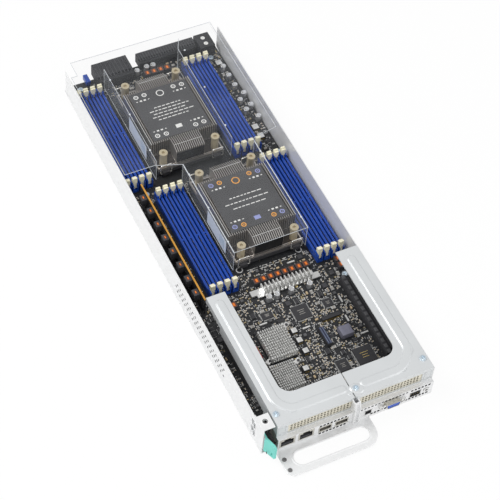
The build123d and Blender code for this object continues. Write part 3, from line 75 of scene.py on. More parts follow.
class Sock:
    """One output of a shader node that can be used in arithmetic."""

    def __init__(self, graph: "Graph", out: bpy.types.NodeSocket) -> None:
        """Keep the graph and the output socket.

        Args:
            graph: The node graph that owns the socket.
            out: The output socket.
        """
        self.graph = graph
        self.out = out

    def _math(self, operation: str, first: "Sock | float", second: "Sock | float" = 0.0) -> "Sock":
        """Add one Math node.

        Args:
            operation: Name of the Math operation.
            first: First operand.
            second: Second operand.

        Returns:
            The node's result.
        """
        return self.graph.node("ShaderNodeMath", {"operation": operation}, {0: first, 1: second})

    def __add__(self, other: "Sock | float") -> "Sock":
        """Sum.

        Args:
            other: The other operand.

        Returns:
            The node's result.
        """
        return self._math("ADD", self, other)

    def __radd__(self, other: float) -> "Sock":
        """Sum with a number on the left.

        Args:
            other: The other operand.

        Returns:
            The node's result.
        """
        return self._math("ADD", other, self)

    def __sub__(self, other: "Sock | float") -> "Sock":
        """Difference.

        Args:
            other: The other operand.

        Returns:
            The node's result.
        """
        return self._math("SUBTRACT", self, other)

    def __rsub__(self, other: float) -> "Sock":
        """Difference with a number on the left.

        Args:
            other: The other operand.

        Returns:
            The node's result.
        """
        return self._math("SUBTRACT", other, self)

    def __mul__(self, other: "Sock | float") -> "Sock":
        """Product.

        Args:
            other: The other operand.

        Returns:
            The node's result.
        """
        return self._math("MULTIPLY", self, other)

    def __rmul__(self, other: float) -> "Sock":
        """Product with a number on the left.

        Args:
            other: The other operand.

        Returns:
            The node's result.
        """
        return self._math("MULTIPLY", other, self)

    def __gt__(self, other: "Sock | float") -> "Sock":
        """Mask that is 1 where this value is the larger.

        Args:
            other: The other operand.

        Returns:
            The node's result.
        """
        return self._math("GREATER_THAN", self, other)

    def __lt__(self, other: "Sock | float") -> "Sock":
        """Mask that is 1 where this value is the smaller.

        Args:
            other: The other operand.

        Returns:
            The node's result.
        """
        return self._math("LESS_THAN", self, other)


class Graph:
    """The node graph of one material."""

    def __init__(self, name: str) -> None:
        """Make the material and its surface shader.

        Args:
            name: Name of the material.
        """
        self.material = bpy.data.materials.new(name)
        self.material.use_nodes = True
        self.tree = self.material.node_tree
        self.tree.nodes.clear()
        self.output = self.tree.nodes.new("ShaderNodeOutputMaterial")

    def node(
        self,
        kind: str,
        settings: dict[str, object] | None = None,
        inputs: dict[int | str, object] | None = None,
        out: int | str = 0,
    ) -> Sock:
        """Add one node.

        Args:
            kind: The node's type.
            settings: Attributes to set first; "stops" sets a color ramp.
            inputs: Values or links for the input sockets.
            out: The output socket to hand back.

        Returns:
            The chosen output.
        """
        made = self.tree.nodes.new(kind)
        for key, value in (settings or {}).items():
            if key == "stops":
                self._stops(made.color_ramp, value)
            else:
                setattr(made, key, value)
        for key, value in (inputs or {}).items():
            self.feed(made.inputs[key], value)
        return Sock(self, made.outputs[out])

    def _stops(self, ramp: bpy.types.ColorRamp, stops: object) -> None:
        """Set a ramp's stops.

        Args:
            ramp: The ramp to set.
            stops: Pairs of a position and a grey level.
        """
        while len(ramp.elements) < len(stops):
            ramp.elements.new(0.5)
        for element, (position, level) in zip(ramp.elements, stops):
            element.position = position
            element.color = (level, level, level, 1.0)

    def feed(self, socket: bpy.types.NodeSocket, value: object) -> None:
        """Link or set one input socket.

        Args:
            socket: The input socket.
            value: A Sock to link, or a plain value.
        """
        if isinstance(value, Sock):
            self.tree.links.new(value.out, socket)
        elif isinstance(value, tuple) and len(value) == 3 and socket.type == "RGBA":
            socket.default_value = (*value, 1.0)
        else:
            socket.default_value = value

    def place(self, scale: Point = (1.0, 1.0, 1.0)) -> Sock:
        """Object coordinates in millimetres, stretched.

        Args:
            scale: Stretch along each axis.

        Returns:
            The stretched coordinates.
        """
        where = self.node("ShaderNodeTexCoord", out="Object")
        stretch = tuple(value / MM for value in scale)
        settings = {"operation": "MULTIPLY"}
        return self.node("ShaderNodeVectorMath", settings, {0: where, 1: stretch})

    def noise(self, scale: float, detail: float = 3.0, stretch: Point = (1.0, 1.0, 1.0)) -> Sock:
        """Smooth noise.

        Args:
            scale: Features per millimetre.
            detail: Octaves.
            stretch: Stretch of the coordinates along each axis.

        Returns:
            The noise value.
        """
        inputs = {"Vector": self.place(stretch), "Scale": scale, "Detail": detail}
        return self.node("ShaderNodeTexNoise", {}, inputs)

    def ramp(self, value: Sock, low: float, high: float) -> Sock:
        """Stretch a value so that low becomes 0 and high becomes 1.

        Args:
            value: The value to stretch.
            low: Start of the range.
            high: End of the range.

        Returns:
            The stretched value, held between 0 and 1.
        """
        inputs = {"Value": value, "From Min": low, "From Max": high}
        return self.node("ShaderNodeMapRange", {"clamp": True}, inputs)

    def mix(self, factor: Sock | float, first: Sock | Color, second: Sock | Color) -> Sock:
        """Mix two colors.

        Args:
            factor: Share of the second color.
            first: First color.
            second: Second color.

        Returns:
            The mixed color.
        """
        inputs = {0: factor, 6: first, 7: second}
        return self.node("ShaderNodeMix", {"data_type": "RGBA"}, inputs, 2)

    def bump(self, height: Sock, depth: float) -> Sock:
        """Bump from a height value.

        Args:
            height: Height between 0 and 1.
            depth: Depth of the relief in millimetres.

        Returns:
            The bent normal.
        """
        inputs = {"Height": height, "Distance": depth * MM, "Strength": 1.0}
        return self.node("ShaderNodeBump", {}, inputs)

    def surface(self, **sockets: object) -> bpy.types.Material:
        """Close the material with a Principled shader.

        Args:
            **sockets: Values by socket name, with spaces as underscores.

        Returns:
            The finished material.
        """
        inputs = {key.replace("_", " "): value for key, value in sockets.items()}
        shader = self.node("ShaderNodeBsdfPrincipled", {}, inputs)
        self.tree.links.new(shader.out, self.output.inputs["Surface"])
        return self.material


class Grain(Enum):
    """How a finish varies over its surface."""

    MOULDED = "moulded"
    ZINC = "zinc"
    BRUSHED = "brushed"
    PAINTED = "painted"
    MASK = "solder mask"
    FILM = "film"
    CLEAR = "clear"


def scaled(color: Color, factor: float) -> Color:
    """Make a color lighter or darker.

    Args:
        color: The color.
        factor: What to multiply it by.

    Returns:
        The new color, held at 1.
    """
    return tuple(min(1.0, channel * factor) for channel in color)


@dataclass(frozen=True)
class Finish:
    """One finish: its color, gloss and grain."""

    name: str
    color: Color
    grain: Grain = Grain.MOULDED
    roughness: float = 0.5
    metallic: float = 0.0
    coat: float = 0.0
    alpha: float = 1.0
    contrast: float = 0.12

    def material(self) -> bpy.types.Material:
        """The finish's material, made once.

        Returns:
            The material.
        """
        found = bpy.data.materials.get(self.name)
        if found is not None:
            return found
        graph = Graph(self.name)
        maker = {
            Grain.MOULDED: self._moulded,
            Grain.ZINC: self._zinc,
            Grain.BRUSHED: self._brushed,
            Grain.PAINTED: self._painted,
            Grain.MASK: self._mask,
            Grain.FILM: self._film,
            Grain.CLEAR: self._clear,
        }[self.grain]
        return maker(graph)

    def _tones(self, graph: Graph, share: Sock) -> Sock:
        """Mix a darker and a lighter tone of the finish's color.

        Args:
            graph: The material's graph.
            share: Share of the lighter tone.

        Returns:
            The color.
        """
        low = scaled(self.color, 1.0 - self.contrast)
        return graph.mix(share, low, scaled(self.color, 1.0 + self.contrast))

    def _moulded(self, graph: Graph) -> bpy.types.Material:
        """Moulded plastic: fine spark grain with faint flow tones.

        Args:
            graph: The graph that takes its nodes.

        Returns:
            The material.
        """
        flow = graph.ramp(graph.noise(0.06, 3.0), 0.35, 0.65)
        grain = graph.noise(2.6, 2.0)
        return graph.surface(
            Base_Color=self._tones(graph, flow * 0.6 + grain * 0.4),
            Roughness=graph.ramp(grain, 0.0, 1.0) * 0.16 + (self.roughness - 0.08),
            Normal=graph.bump(grain, 0.03),
            Coat_Weight=self.coat,
            Metallic=self.metallic,
        )

    def _zinc(self, graph: Graph) -> bpy.types.Material:
        """Zinc-plated sheet: soft spangle, rolling lines and small scuffs.

        Args:
            graph: The graph that takes its nodes.

        Returns:
            The material.
        """
        inputs = {"Vector": graph.place(), "Scale": 0.16}
        spangle = graph.node("ShaderNodeTexVoronoi", {"feature": "SMOOTH_F1"}, inputs)
        rolled = graph.noise(0.9, 4.0, (1.0, 0.04, 1.0))
        scuff = graph.ramp(graph.noise(0.35, 6.0, (1.0, 0.25, 1.0)), 0.62, 0.72)
        share = graph.ramp(spangle, 0.0, 0.9) * 0.4 + rolled * 0.6
        return graph.surface(
            Base_Color=graph.mix(scuff * 0.35, self._tones(graph, share), scaled(self.color, 0.8)),
            Metallic=self.metallic,
            Roughness=share * 0.14 + scuff * 0.08 + (self.roughness - 0.07),
            Normal=graph.bump(rolled, 0.02),
        )

    def _brushed(self, graph: Graph) -> bpy.types.Material:
        """Drawn or brushed metal: fine lines along Y.

        Args:
            graph: The graph that takes its nodes.

        Returns:
            The material.
        """
        line = graph.noise(3.0, 3.0, (1.0, 0.03, 1.0))
        cloud = graph.noise(0.12, 3.0)
        return graph.surface(
            Base_Color=self._tones(graph, line * 0.6 + cloud * 0.4),
            Metallic=self.metallic,
            Roughness=line * 0.2 + (self.roughness - 0.1),
            Normal=graph.bump(line, 0.015),
        )

    def _painted(self, graph: Graph) -> bpy.types.Material:
        """Sheet with a baked coat: faint orange peel and slightly worn tone.

        Args:
            graph: The graph that takes its nodes.

        Returns:
            The material.
        """
        peel = graph.noise(1.1, 2.0)
        cloud = graph.ramp(graph.noise(0.035, 3.0), 0.3, 0.7)
        return graph.surface(
            Base_Color=self._tones(graph, cloud * 0.7 + peel * 0.3),
            Metallic=self.metallic,
            Roughness=peel * 0.12 + (self.roughness - 0.06),
            Normal=graph.bump(peel, 0.02),
            Coat_Weight=self.coat,
        )

    def _mask(self, graph: Graph) -> bpy.types.Material:
        """Circuit board: faint copper runs, plated holes and a glossy solder mask.

        Args:
            graph: The graph that takes its nodes.

        Returns:
            The material.
        """
        bricks = {"Vector": graph.place(), "Scale": 0.5, "Mortar Size": 0.05, "Brick Width": 9.0}
        runs = graph.node("ShaderNodeTexBrick", {}, {**bricks, "Row Height": 0.42}, 1)
        zone = graph.noise(0.045, 2.0) > 0.5
        across = graph.node("ShaderNodeTexBrick", {}, {**bricks, "Row Height": 0.9}, 1)
        copper = runs * zone + across * (1.0 - zone)
        dots = {"Vector": graph.place(), "Scale": 0.33}
        cell = graph.node("ShaderNodeTexVoronoi", {}, dots)
        hole = (cell < 0.13) * (graph.noise(0.09, 2.0) > 0.52)
        tone = graph.mix(copper * 0.5, self.color, scaled(self.color, 2.6))
        return graph.surface(
            Base_Color=graph.mix(hole * 0.8, tone, (0.36, 0.33, 0.24)),
            Metallic=hole * 0.6,
            Roughness=0.42 - hole * 0.1 + graph.noise(0.3, 3.0) * 0.1,
            Normal=graph.bump(copper, 0.04),
        )

    def _film(self, graph: Graph) -> bpy.types.Material:
        """Printed film: very smooth with faint ripples.

        Args:
            graph: The graph that takes its nodes.

        Returns:
            The material.
        """
        ripple = graph.noise(0.09, 2.0)
        return graph.surface(
            Base_Color=self._tones(graph, ripple),
            Roughness=ripple * 0.12 + (self.roughness - 0.06),
            Normal=graph.bump(ripple, 0.06),
            Metallic=self.metallic,
        )

    def _clear(self, graph: Graph) -> bpy.types.Material:
        """Clear sheet: a thin tinted film that grows more opaque at a slant, a painted sheen
        standing in for its reflection.

        Args:
            graph: The graph that takes its nodes.

        Returns:
            The material.
        """
        haze = graph.ramp(graph.noise(0.03, 4.0), 0.3, 0.7)
        # Painted sheen: opacity rises where the sheet is seen at a slant.
        edge = graph.node("ShaderNodeLayerWeight", {}, {"Blend": 0.35}, "Facing")
        return graph.surface(
            Base_Color=self._tones(graph, haze),
            Roughness=haze * 0.08 + (self.roughness - 0.03),
            Alpha=edge * edge * 0.3 + haze * 0.025 + self.alpha,
        )


class Paint:
    """Every finish on the sled."""

    ZINC = Finish("zinc_sheet", (0.84, 0.845, 0.85), Grain.ZINC, 0.42, 0.25, contrast=0.04)
    BRACKET = Finish("bracket_sheet", (0.69, 0.71, 0.72), Grain.PAINTED, 0.36, 0.3, contrast=0.03)
    COVER = Finish("cover_sheet", (0.78, 0.74, 0.62), Grain.PAINTED, 0.45, 0.2, contrast=0.04)
    SCREW = Finish("blue_zinc", (0.66, 0.76, 0.84), Grain.BRUSHED, 0.3, 0.7, contrast=0.06)
    SPRING = Finish("spring_steel", (0.72, 0.72, 0.71), Grain.BRUSHED, 0.28, 0.9)
    TEAL = Finish("teal_plastic", (0.06, 0.55, 0.44), Grain.MOULDED, 0.38, contrast=0.08)
    MASK = Finish("board_mask", (0.012, 0.013, 0.015), Grain.MASK)
    EDGE = Finish("card_laminate", (0.55, 0.27, 0.035), Grain.MOULDED, 0.45)
    BLUE = Finish("socket_blue", (0.008, 0.060, 0.37), Grain.MOULDED, 0.36, contrast=0.12)
    IVORY = Finish("latch_ivory", (0.86, 0.82, 0.62), Grain.MOULDED, 0.42, contrast=0.06)
    BLACK = Finish("black_plastic", (0.012, 0.012, 0.013), Grain.MOULDED, 0.45, contrast=0.3)
    FIN = Finish("sink_metal", (0.40, 0.37, 0.335), Grain.BRUSHED, 0.42, 0.85, contrast=0.1)
    # Pale aluminium for the light metal parts; also the painted highlights on the heat sinks' fin
    # tops.
    PALE = Finish("pale_aluminium", (0.90, 0.90, 0.89), Grain.BRUSHED, 0.36, 0.25)
    LABEL = Finish("label_film", (0.055, 0.055, 0.06), Grain.FILM, 0.4, contrast=0.15)
    NUT = Finish("nut_sleeve", (0.60, 0.52, 0.36), Grain.BRUSHED, 0.42, 0.5)
    WIRE = Finish("bail_wire", (0.86, 0.85, 0.82), Grain.BRUSHED, 0.25, 0.8)
    CAN = Finish("can_metal", (0.72, 0.74, 0.76), Grain.BRUSHED, 0.3, 0.9)
    CLEAR = Finish("clear_sheet", (0.42, 0.44, 0.46), Grain.CLEAR, 0.06, alpha=0.012)
    PORT = Finish("port_shell", (0.62, 0.60, 0.54), Grain.BRUSHED, 0.34, 0.85)
    VIDEO = Finish("video_blue", (0.03, 0.10, 0.52), Grain.MOULDED, 0.4)
    LID = Finish("package_lid", (0.6, 0.6, 0.6), Grain.BRUSHED, 0.35, 0.8)
    ORANGE = Finish("coil_orange", (0.95, 0.22, 0.02), Grain.MOULDED, 0.5, contrast=0.2)
    GOLD = Finish("gold_contact", (0.82, 0.62, 0.22), Grain.BRUSHED, 0.3, 1.0)
    TIN = Finish("tin_lead", (0.74, 0.74, 0.73), Grain.BRUSHED, 0.38, 0.45)
    TAN = Finish("ceramic_tan", (0.52, 0.40, 0.25), Grain.MOULDED, 0.5, contrast=0.15)
    SLATE = Finish("slate_plastic", (0.19, 0.23, 0.31), Grain.MOULDED, 0.45, contrast=0.12)
    MAUVE = Finish("mauve_plastic", (0.16, 0.16, 0.21), Grain.MOULDED, 0.5, contrast=0.15)
    CHARCOAL = Finish("charcoal", (0.05, 0.05, 0.055), Grain.MOULDED, 0.5, contrast=0.2)
    STEEL = Finish("dark_steel", (0.22, 0.22, 0.22), Grain.BRUSHED, 0.4, 0.7)
    # Painted shade for the heat sinks' base corners and the feet of their ends.
    UMBER = Finish("umber_painted_shade", (0.035, 0.028, 0.024), Grain.MOULDED, 0.4, contrast=0.2)
    # Painted highlight along the clear duct's edges; also the colour of its rivets.
    RIM = Finish("sheet_edge", (0.62, 0.65, 0.68), Grain.FILM, 0.25, contrast=0.1)
    LILAC = Finish("lilac_ink", (0.30, 0.33, 0.62), Grain.FILM, 0.5)
    GRAPHITE = Finish("graphite_plastic", (0.10, 0.10, 0.105), Grain.MOULDED, 0.4, contrast=0.2)
    ASH = Finish("ash_resin", (0.34, 0.325, 0.30), Grain.MOULDED, 0.45, contrast=0.3)
    BROWN = Finish("coil_brown", (0.16, 0.045, 0.02), Grain.MOULDED, 0.5, contrast=0.2)
    NAVY = Finish("navy_plastic", (0.014, 0.018, 0.050), Grain.MOULDED, 0.45)
    WHITE = Finish("white_ink", (0.80, 0.80, 0.78), Grain.FILM, 0.5, contrast=0.03)
    RED = Finish("red_ink", (0.65, 0.05, 0.04), Grain.FILM, 0.5)
    AMBER = Finish("amber_ink", (0.85, 0.38, 0.06), Grain.FILM, 0.5)
    SKY = Finish("sky_ink", (0.35, 0.50, 0.62), Grain.FILM, 0.5)
    FROST = Finish("frost_patch", (0.70, 0.76, 0.82), Grain.FILM, 0.45, contrast=0.04)
    # Painted shade: near-black put in vents, slots, mouths and fin gaps, where only shade lies.
    DARK = Finish("painted_hollow_shade", (0.004, 0.004, 0.005), Grain.MOULDED, 0.7, contrast=0.3)


class Draft:
    """A mesh in the making, in millimetres, with one finish per face."""

    def __init__(self) -> None:
        """Start empty."""
        self.bm = bmesh.new()
        self.finishes: list[Finish] = []

    def _mark(self, faces: list[bmesh.types.BMFace], finish: Finish, smooth: bool = False) -> None:
        """Give faces a finish.

        Args:
            faces: The faces.
            finish: Their finish.
            smooth: Whether they shade smoothly.
        """
        if finish not in self.finishes:
            self.finishes.append(finish)
        for face in faces:
            face.material_index = self.finishes.index(finish)
            face.smooth = smooth

    def _take(self, made: bmesh.types.BMesh, finish: Finish, smooth: bool = False) -> None:
        """Add the faces of a small mesh.

        Args:
            made: The small mesh, which is freed.
            finish: Its finish.
            smooth: Whether its faces shade smoothly.
        """
        verts = {vert: self.bm.verts.new(vert.co) for vert in made.verts}
        faces = [self.bm.faces.new([verts[vert] for vert in face.verts]) for face in made.faces]
        self._mark(faces, finish, smooth)
        made.free()

    def box(
        self, low: Point, high: Point, finish: Finish, soft: float = 0.0, turn: float = 0.0
    ) -> None:
        """Add a box, with softened edges if asked.

        Args:
            low: Lowest corner.
            high: Highest corner.
            finish: Its finish.
            soft: Width of the edge bevel.
            turn: Turn about the upright axis through its middle, in degrees.
        """
        made = bmesh.new()
        bmesh.ops.create_cube(made, size=1.0)
        size = [b - a for a, b in zip(low, high)]
        middle = Vector([(a + b) / 2 for a, b in zip(low, high)])
        for vert in made.verts:
            vert.co = Vector([c * s for c, s in zip(vert.co, size)])
        if soft:
            edges = made.edges[:]
            bmesh.ops.bevel(made, geom=edges, offset=soft, segments=2, affect="EDGES", profile=0.6)
        spin = Matrix.Rotation(math.radians(turn), 4, "Z")
        bmesh.ops.transform(made, matrix=Matrix.Translation(middle) @ spin, verts=made.verts)
        self._take(made, finish)

    def block(
        self, where: Point, size: Point, finish: Finish, soft: float = 0.0, turn: float = 0.0
    ) -> None:
        """Add a box that stands centred on a point.

        Args:
            where: Middle of its foot.
            size: Its width, length and height.
            finish: Its finish.
            soft: Width of the edge bevel.
            turn: Turn about the upright axis, in degrees.
        """
        (x, y, z), (width, length, height) = where, size
        low = (x - width / 2, y - length / 2, z)
        self.box(low, (x + width / 2, y + length / 2, z + height), finish, soft, turn)

    def rod(
        self,
        foot: Point,
        radius: float,
        height: float,
        finish: Finish,
        axis: str = "Z",
        tip: float | None = None,
        sides: int = 24,
    ) -> None:
        """Add a cylinder or cone with a soft rim.

        Args:
            foot: Middle of its foot.
            radius: Radius at the foot.
            height: Its height along the axis.
            finish: Its finish.
            axis: The axis it runs along.
            tip: Radius at the far end, if it differs.
            sides: Number of sides.
        """
        made = bmesh.new()
        top = radius if tip is None else tip
        bmesh.ops.create_cone(
            made, cap_ends=True, segments=sides, radius1=radius, radius2=top, depth=height
        )
        bmesh.ops.translate(made, verts=made.verts, vec=(0, 0, height / 2))
        rim = min(radius, abs(height)) * 0.12
        caps = [e for e in made.edges if abs(e.verts[0].co.z - e.verts[1].co.z) < 1e-6]
        bmesh.ops.bevel(made, geom=caps, offset=rim, segments=1, affect="EDGES")
        turn = {"Z": Matrix.Identity(4), "Y": Matrix.Rotation(-math.pi / 2, 4, "X")}
        turn["X"] = Matrix.Rotation(math.pi / 2, 4, "Y")
        place = Matrix.Translation(Vector(foot)) @ turn[axis]
        bmesh.ops.transform(made, matrix=place, verts=made.verts)
        self._take(made, finish, True)

    def loft(self, rings: list[list[Point]], finish: Finish, smooth: bool = True) -> None:
        """Add a skin through closed rings, capped at both ends.

        Args:
            rings: Rings of equally many points.
            finish: Its finish.
            smooth: Whether it shades smoothly.
        """
        made = bmesh.new()
        rows = [[made.verts.new(point) for point in ring] for ring in rings]
        for lower, upper in zip(rows, rows[1:]):
            for i, vert in enumerate(lower):
                after = (i + 1) % len(lower)
                made.faces.new((vert, lower[after], upper[after], upper[i]))
        made.faces.new(list(reversed(rows[0])))
        made.faces.new(rows[-1])
        self._take(made, finish, smooth)

    def skin(self, rings: list[list[Point]], finish: Finish, smooth: bool = True) -> None:
        """Add an open skin through closed rings.

        Args:
            rings: Rings of equally many points.
            finish: Its finish.
            smooth: Whether it shades smoothly.
        """
        made = bmesh.new()
        rows = [[made.verts.new(point) for point in ring] for ring in rings]
        for lower, upper in zip(rows, rows[1:]):
            for i, vert in enumerate(lower):
                after = (i + 1) % len(lower)
                made.faces.new((vert, lower[after], upper[after], upper[i]))
        self._take(made, finish, smooth)

    def wire(self, line: list[Point], radius: float, bend: float, finish: Finish) -> None:
        """Add a round wire along a line whose corners are bent.

        Args:
            line: Corners of the line.
            radius: Radius of the wire.
            bend: Radius of each bend.
            finish: Its finish.
        """
        corners = [Vector(point) for point in line]
        path = [corners[0]]
        for before, corner, after in zip(corners, corners[1:], corners[2:]):
            back, ahead = (before - corner).normalized(), (after - corner).normalized()
            reach = min(bend, (before - corner).length / 2, (after - corner).length / 2)
            for step in range(6):
                t = step / 5
                path.append(
                    corner + back * reach * (1 - t) ** 2 + ahead * reach * t ** 2
                )
        path.append(corners[-1])
        side = (path[1] - path[0]).orthogonal().normalized()
        rings = []
        for i, point in enumerate(path):
            run = (path[min(i + 1, len(path) - 1)] - path[max(i - 1, 0)]).normalized()
            side = (side - run * side.dot(run)).normalized()
            other = run.cross(side)
            turns = [math.tau * k / 12 for k in range(12)]
            rings.append([
                tuple(point + (side * math.cos(t) + other * math.sin(t)) * radius) for t in turns
            ])
        self.loft(rings, finish)

    def ring(self, where: Point, outer: float, inner: float, rise: float, finish: Finish) -> None:
        """Add a raised ring with a rounded crest.

        Args:
            where: Middle of its foot.
            outer: Outer radius.
            inner: Inner radius.
            rise: Height of the crest.
            finish: Its finish.
        """
        made = bmesh.new()
        x, y, z = where
        middle = (outer + inner) / 2
        profile = [(outer, 0.0), ((outer + middle) / 2, rise * 0.8), (middle, rise)]
        profile += [((inner + middle) / 2, rise * 0.8), (inner, 0.0)]
        rows = []
        for radius, height in profile:
            turns = [math.tau * i / 32 for i in range(32)]
            rows.append([
                made.verts.new((x + radius * math.cos(t), y + radius * math.sin(t), z + height))
                for t in turns
            ])
        for lower, upper in zip(rows, rows[1:]):
            for i, vert in enumerate(lower):
                after = (i + 1) % len(lower)
                made.faces.new((vert, lower[after], upper[after], upper[i]))
        self._take(made, finish, True)

    def liner(self, low: Point, high: Point, finish: Finish, wall: float = 0.15) -> None:
        """Line a mouth that opens toward the port end with thin walls.

        Args:
            low: Lowest corner of the mouth.
            high: Highest corner of the mouth.
            finish: Its finish.
            wall: Thickness of the lining.
        """
        (x0, y0, z0), (x1, y1, z1) = low, high
        self.box((x0, y1 - wall, z0), (x1, y1, z1), finish)
        for z in (z0, z1 - wall):
            self.box((x0, y0, z), (x1, y1 - wall, z + wall), finish)
        for x in (x0, x1 - wall):
            self.box((x, y0, z0 + wall), (x + wall, y1 - wall, z1 - wall), finish)

    def bead(self, line: list[Flat], half: float, z: float, rise: float, finish: Finish) -> None:
        """Add a soft pressed bead with round ends along a bent line.

        Args:
            line: Corners of its middle line.
            half: Half of its width.
            z: Height of the sheet.
            rise: Height of its crest.
            finish: Its finish.
        """
        path = bent(line, half + 4.0)
        profile = ((1.1, 0.02), (0.7, 0.1), (0.25, 0.42), (-0.15, 0.8), (-0.6, 0.96), (-1.1, 1.0))
        rows = []
        for grow, share in profile:
            height = z + rise * share
            rows.append([(x, y, height) for x, y in band(path, half + grow)])
        self.skin(rows, finish)
        crest = rows[-1]
        made = bmesh.new()
        verts = [made.verts.new(point) for point in crest]
        made.faces.new(verts)
        bmesh.ops.triangulate(made, faces=made.faces[:])
        self._take(made, finish)

    def piece(
        self, name: str, body: str = CHASSIS, replaces: tuple[str, ...] = ()
    ) -> bpy.types.Object:
        """Turn the draft into an object that rides on a body.

        Args:
            name: The object's name.
            body: The body that it moves with.
            replaces: CAD nodes that it stands for.

        Returns:
            The object.
        """
        bmesh.ops.recalc_face_normals(self.bm, faces=self.bm.faces)
        bmesh.ops.scale(self.bm, vec=(MM, MM, MM), verts=self.bm.verts)
        mesh = bpy.data.meshes.new(name)
        self.bm.to_mesh(mesh)
        self.bm.free()
        for finish in self.finishes:
            mesh.materials.append(finish.material())
        made = bpy.data.objects.new(name, mesh)
        bpy.context.scene.collection.objects.link(made)
        mesh.set_sharp_from_angle(angle=math.radians(40))
        return adopt(made, body, replaces)


def adopt(
    made: bpy.types.Object, body: str, replaces: tuple[str, ...]
) -> bpy.types.Object:
    """Tie a new object to its body and the nodes it stands for.

    Args:
        made: The object.
        body: The body that it moves with.
        replaces: CAD nodes that it stands for.

    Returns:
        The same object.
    """
    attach(made, body)
    if replaces:
        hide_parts(*replaces)
    LOG.info("piece %s on %s", made.name, body)
    return made


def dress(node: str, finish: Finish) -> None:
    """Give a CAD node its finish.

    Args:
        node: The node's name.
        finish: The finish.
    """
    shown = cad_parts[node]
    for holder in shown.material_slots:
        holder.material = finish.material()
    LOG.info("node %s in %s", node, finish.name)


@dataclass(frozen=True)
class Solid:
    """The box round one solid of a node, in millimetres."""

    low: Point
    high: Point

    @property
    def middle(self) -> Flat:
        """Middle of the box in plan.

        Returns:
            X and Y in millimetres.
        """
        return (self.low[0] + self.high[0]) / 2, (self.low[1] + self.high[1]) / 2

    @property
    def size(self) -> Point:
        """Width, length and height.

        Returns:
            The three lengths in millimetres.
        """
        return tuple(b - a for a, b in zip(self.low, self.high))


def solids(node: str) -> list[Solid]:
    """Find the box round each solid of a node.

    Args:
        node: The node's name.

    Returns:
        One box for each separate solid, in order along X and then Y.
    """
    made = bmesh.new()
    made.from_mesh(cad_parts[node].data)
    bmesh.ops.remove_doubles(made, verts=made.verts, dist=1e-6)
    seen: set[int] = set()
    found = []
    for start in made.verts:
        if start.index in seen:
            continue
        stack, group = [start], []
        seen.add(start.index)
        while stack:
            vert = stack.pop()
            group.append(vert.co / MM)
            for edge in vert.link_edges:
                other = edge.other_vert(vert)
                if other.index not in seen:
                    seen.add(other.index)
                    stack.append(other)
        low = tuple(min(co[i] for co in group) for i in range(3))
        high = tuple(max(co[i] for co in group) for i in range(3))
        found.append(Solid(low, high))
    made.free()
    return sorted(found, key=lambda solid: (round(solid.low[0], 1), solid.low[1]))


def node_box(node: str) -> Solid:
    """The box round a whole node.

    Args:
        node: The node's name.

    Returns:
        Its box in millimetres.
    """
    low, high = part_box(node)
    return Solid(tuple(v / MM for v in low), tuple(v / MM for v in high))


def plate_curve(
    name: str, outlines: list[list[Point]], thickness: float, soft: float
) -> bpy.types.Mesh:
    """Make a flat plate with rounded rims from closed outlines in plan.

    Args:
        name: Name of the mesh.
        outlines: Outer edge first, then holes, as points (x, y, radius).
        thickness: Thickness of the plate.
        soft: Radius of the rims.

    Returns:
        The plate's mesh in metres, with its foot at Z = 0.
    """
    curve = bpy.data.curves.new(name, "CURVE")
    curve.dimensions = "2D"
    curve.fill_mode = "BOTH"
    curve.extrude = (thickness / 2 - soft) * MM
    curve.bevel_depth = soft * MM
    curve.bevel_resolution = 2
    curve.offset = -soft * MM
    for outline in outlines:
        points = rounded(outline)
        spline = curve.splines.new("POLY")
        spline.points.add(len(points) - 1)
        for point, (x, y) in zip(spline.points, points):
            point.co = (x * MM, y * MM, 0.0, 1.0)
        spline.use_cyclic_u = True
    holder = bpy.data.objects.new(name, curve)
    bpy.context.scene.collection.objects.link(holder)
    graph = bpy.context.evaluated_depsgraph_get()
    mesh = bpy.data.meshes.new_from_object(holder.evaluated_get(graph))
    bpy.data.objects.remove(holder)
    mesh.transform(Matrix.Translation((0.0, 0.0, thickness / 2 * MM)))
    return mesh


def rounded(outline: list[Point], steps: int = 6) -> list[Flat]:
    """Round the corners of an outline.

    Args:
        outline: Corners as (x, y, radius).
        steps: Number of steps round each corner.

    Returns:
        The rounded outline's points.
    """
    points: list[Flat] = []
    for i, (x, y, radius) in enumerate(outline):
        corner = Vector((x, y))
        before = Vector(outline[i - 1][:2]) - corner
        after = Vector(outline[(i + 1) % len(outline)][:2]) - corner
        if radius <= 0.0:
            points.append((x, y))
            continue
        half = before.angle(after) / 2
        reach = radius / math.tan(half)
        centre = corner + (before.normalized() + after.normalized()).normalized() * (
            radius / math.sin(half)
        )
        start = corner + before.normalized() * reach - centre
        end = corner + after.normalized() * reach - centre
        sweep = start.angle_signed(end)
        for step in range(steps + 1):
            angle = -sweep * step / steps
            turned = Matrix.Rotation(angle, 2) @ start
            points.append(tuple(centre + turned))
    return points


def bent(line: list[Flat], radius: float, steps: int = 6) -> list[Flat]:
    """Round the corners of an open line.

    Args:
        line: Corners of the line.
        radius: Length that each bend takes from its two sides.
        steps: Steps to each bend.

    Returns:
        The points of the rounded line.
    """
    path = [line[0]]
    for before, corner, after in zip(line, line[1:], line[2:]):
        middle = Vector(corner)
        back, ahead = Vector(before) - middle, Vector(after) - middle
        reach = min(radius, back.length / 2, ahead.length / 2)
        start, end = middle + back.normalized() * reach, middle + ahead.normalized() * reach
        for step in range(steps + 1):
            t = step / steps
            point = start * (1 - t) ** 2 + middle * 2 * t * (1 - t) + end * t ** 2
            path.append((point.x, point.y))
    path.append(line[-1])
    return path


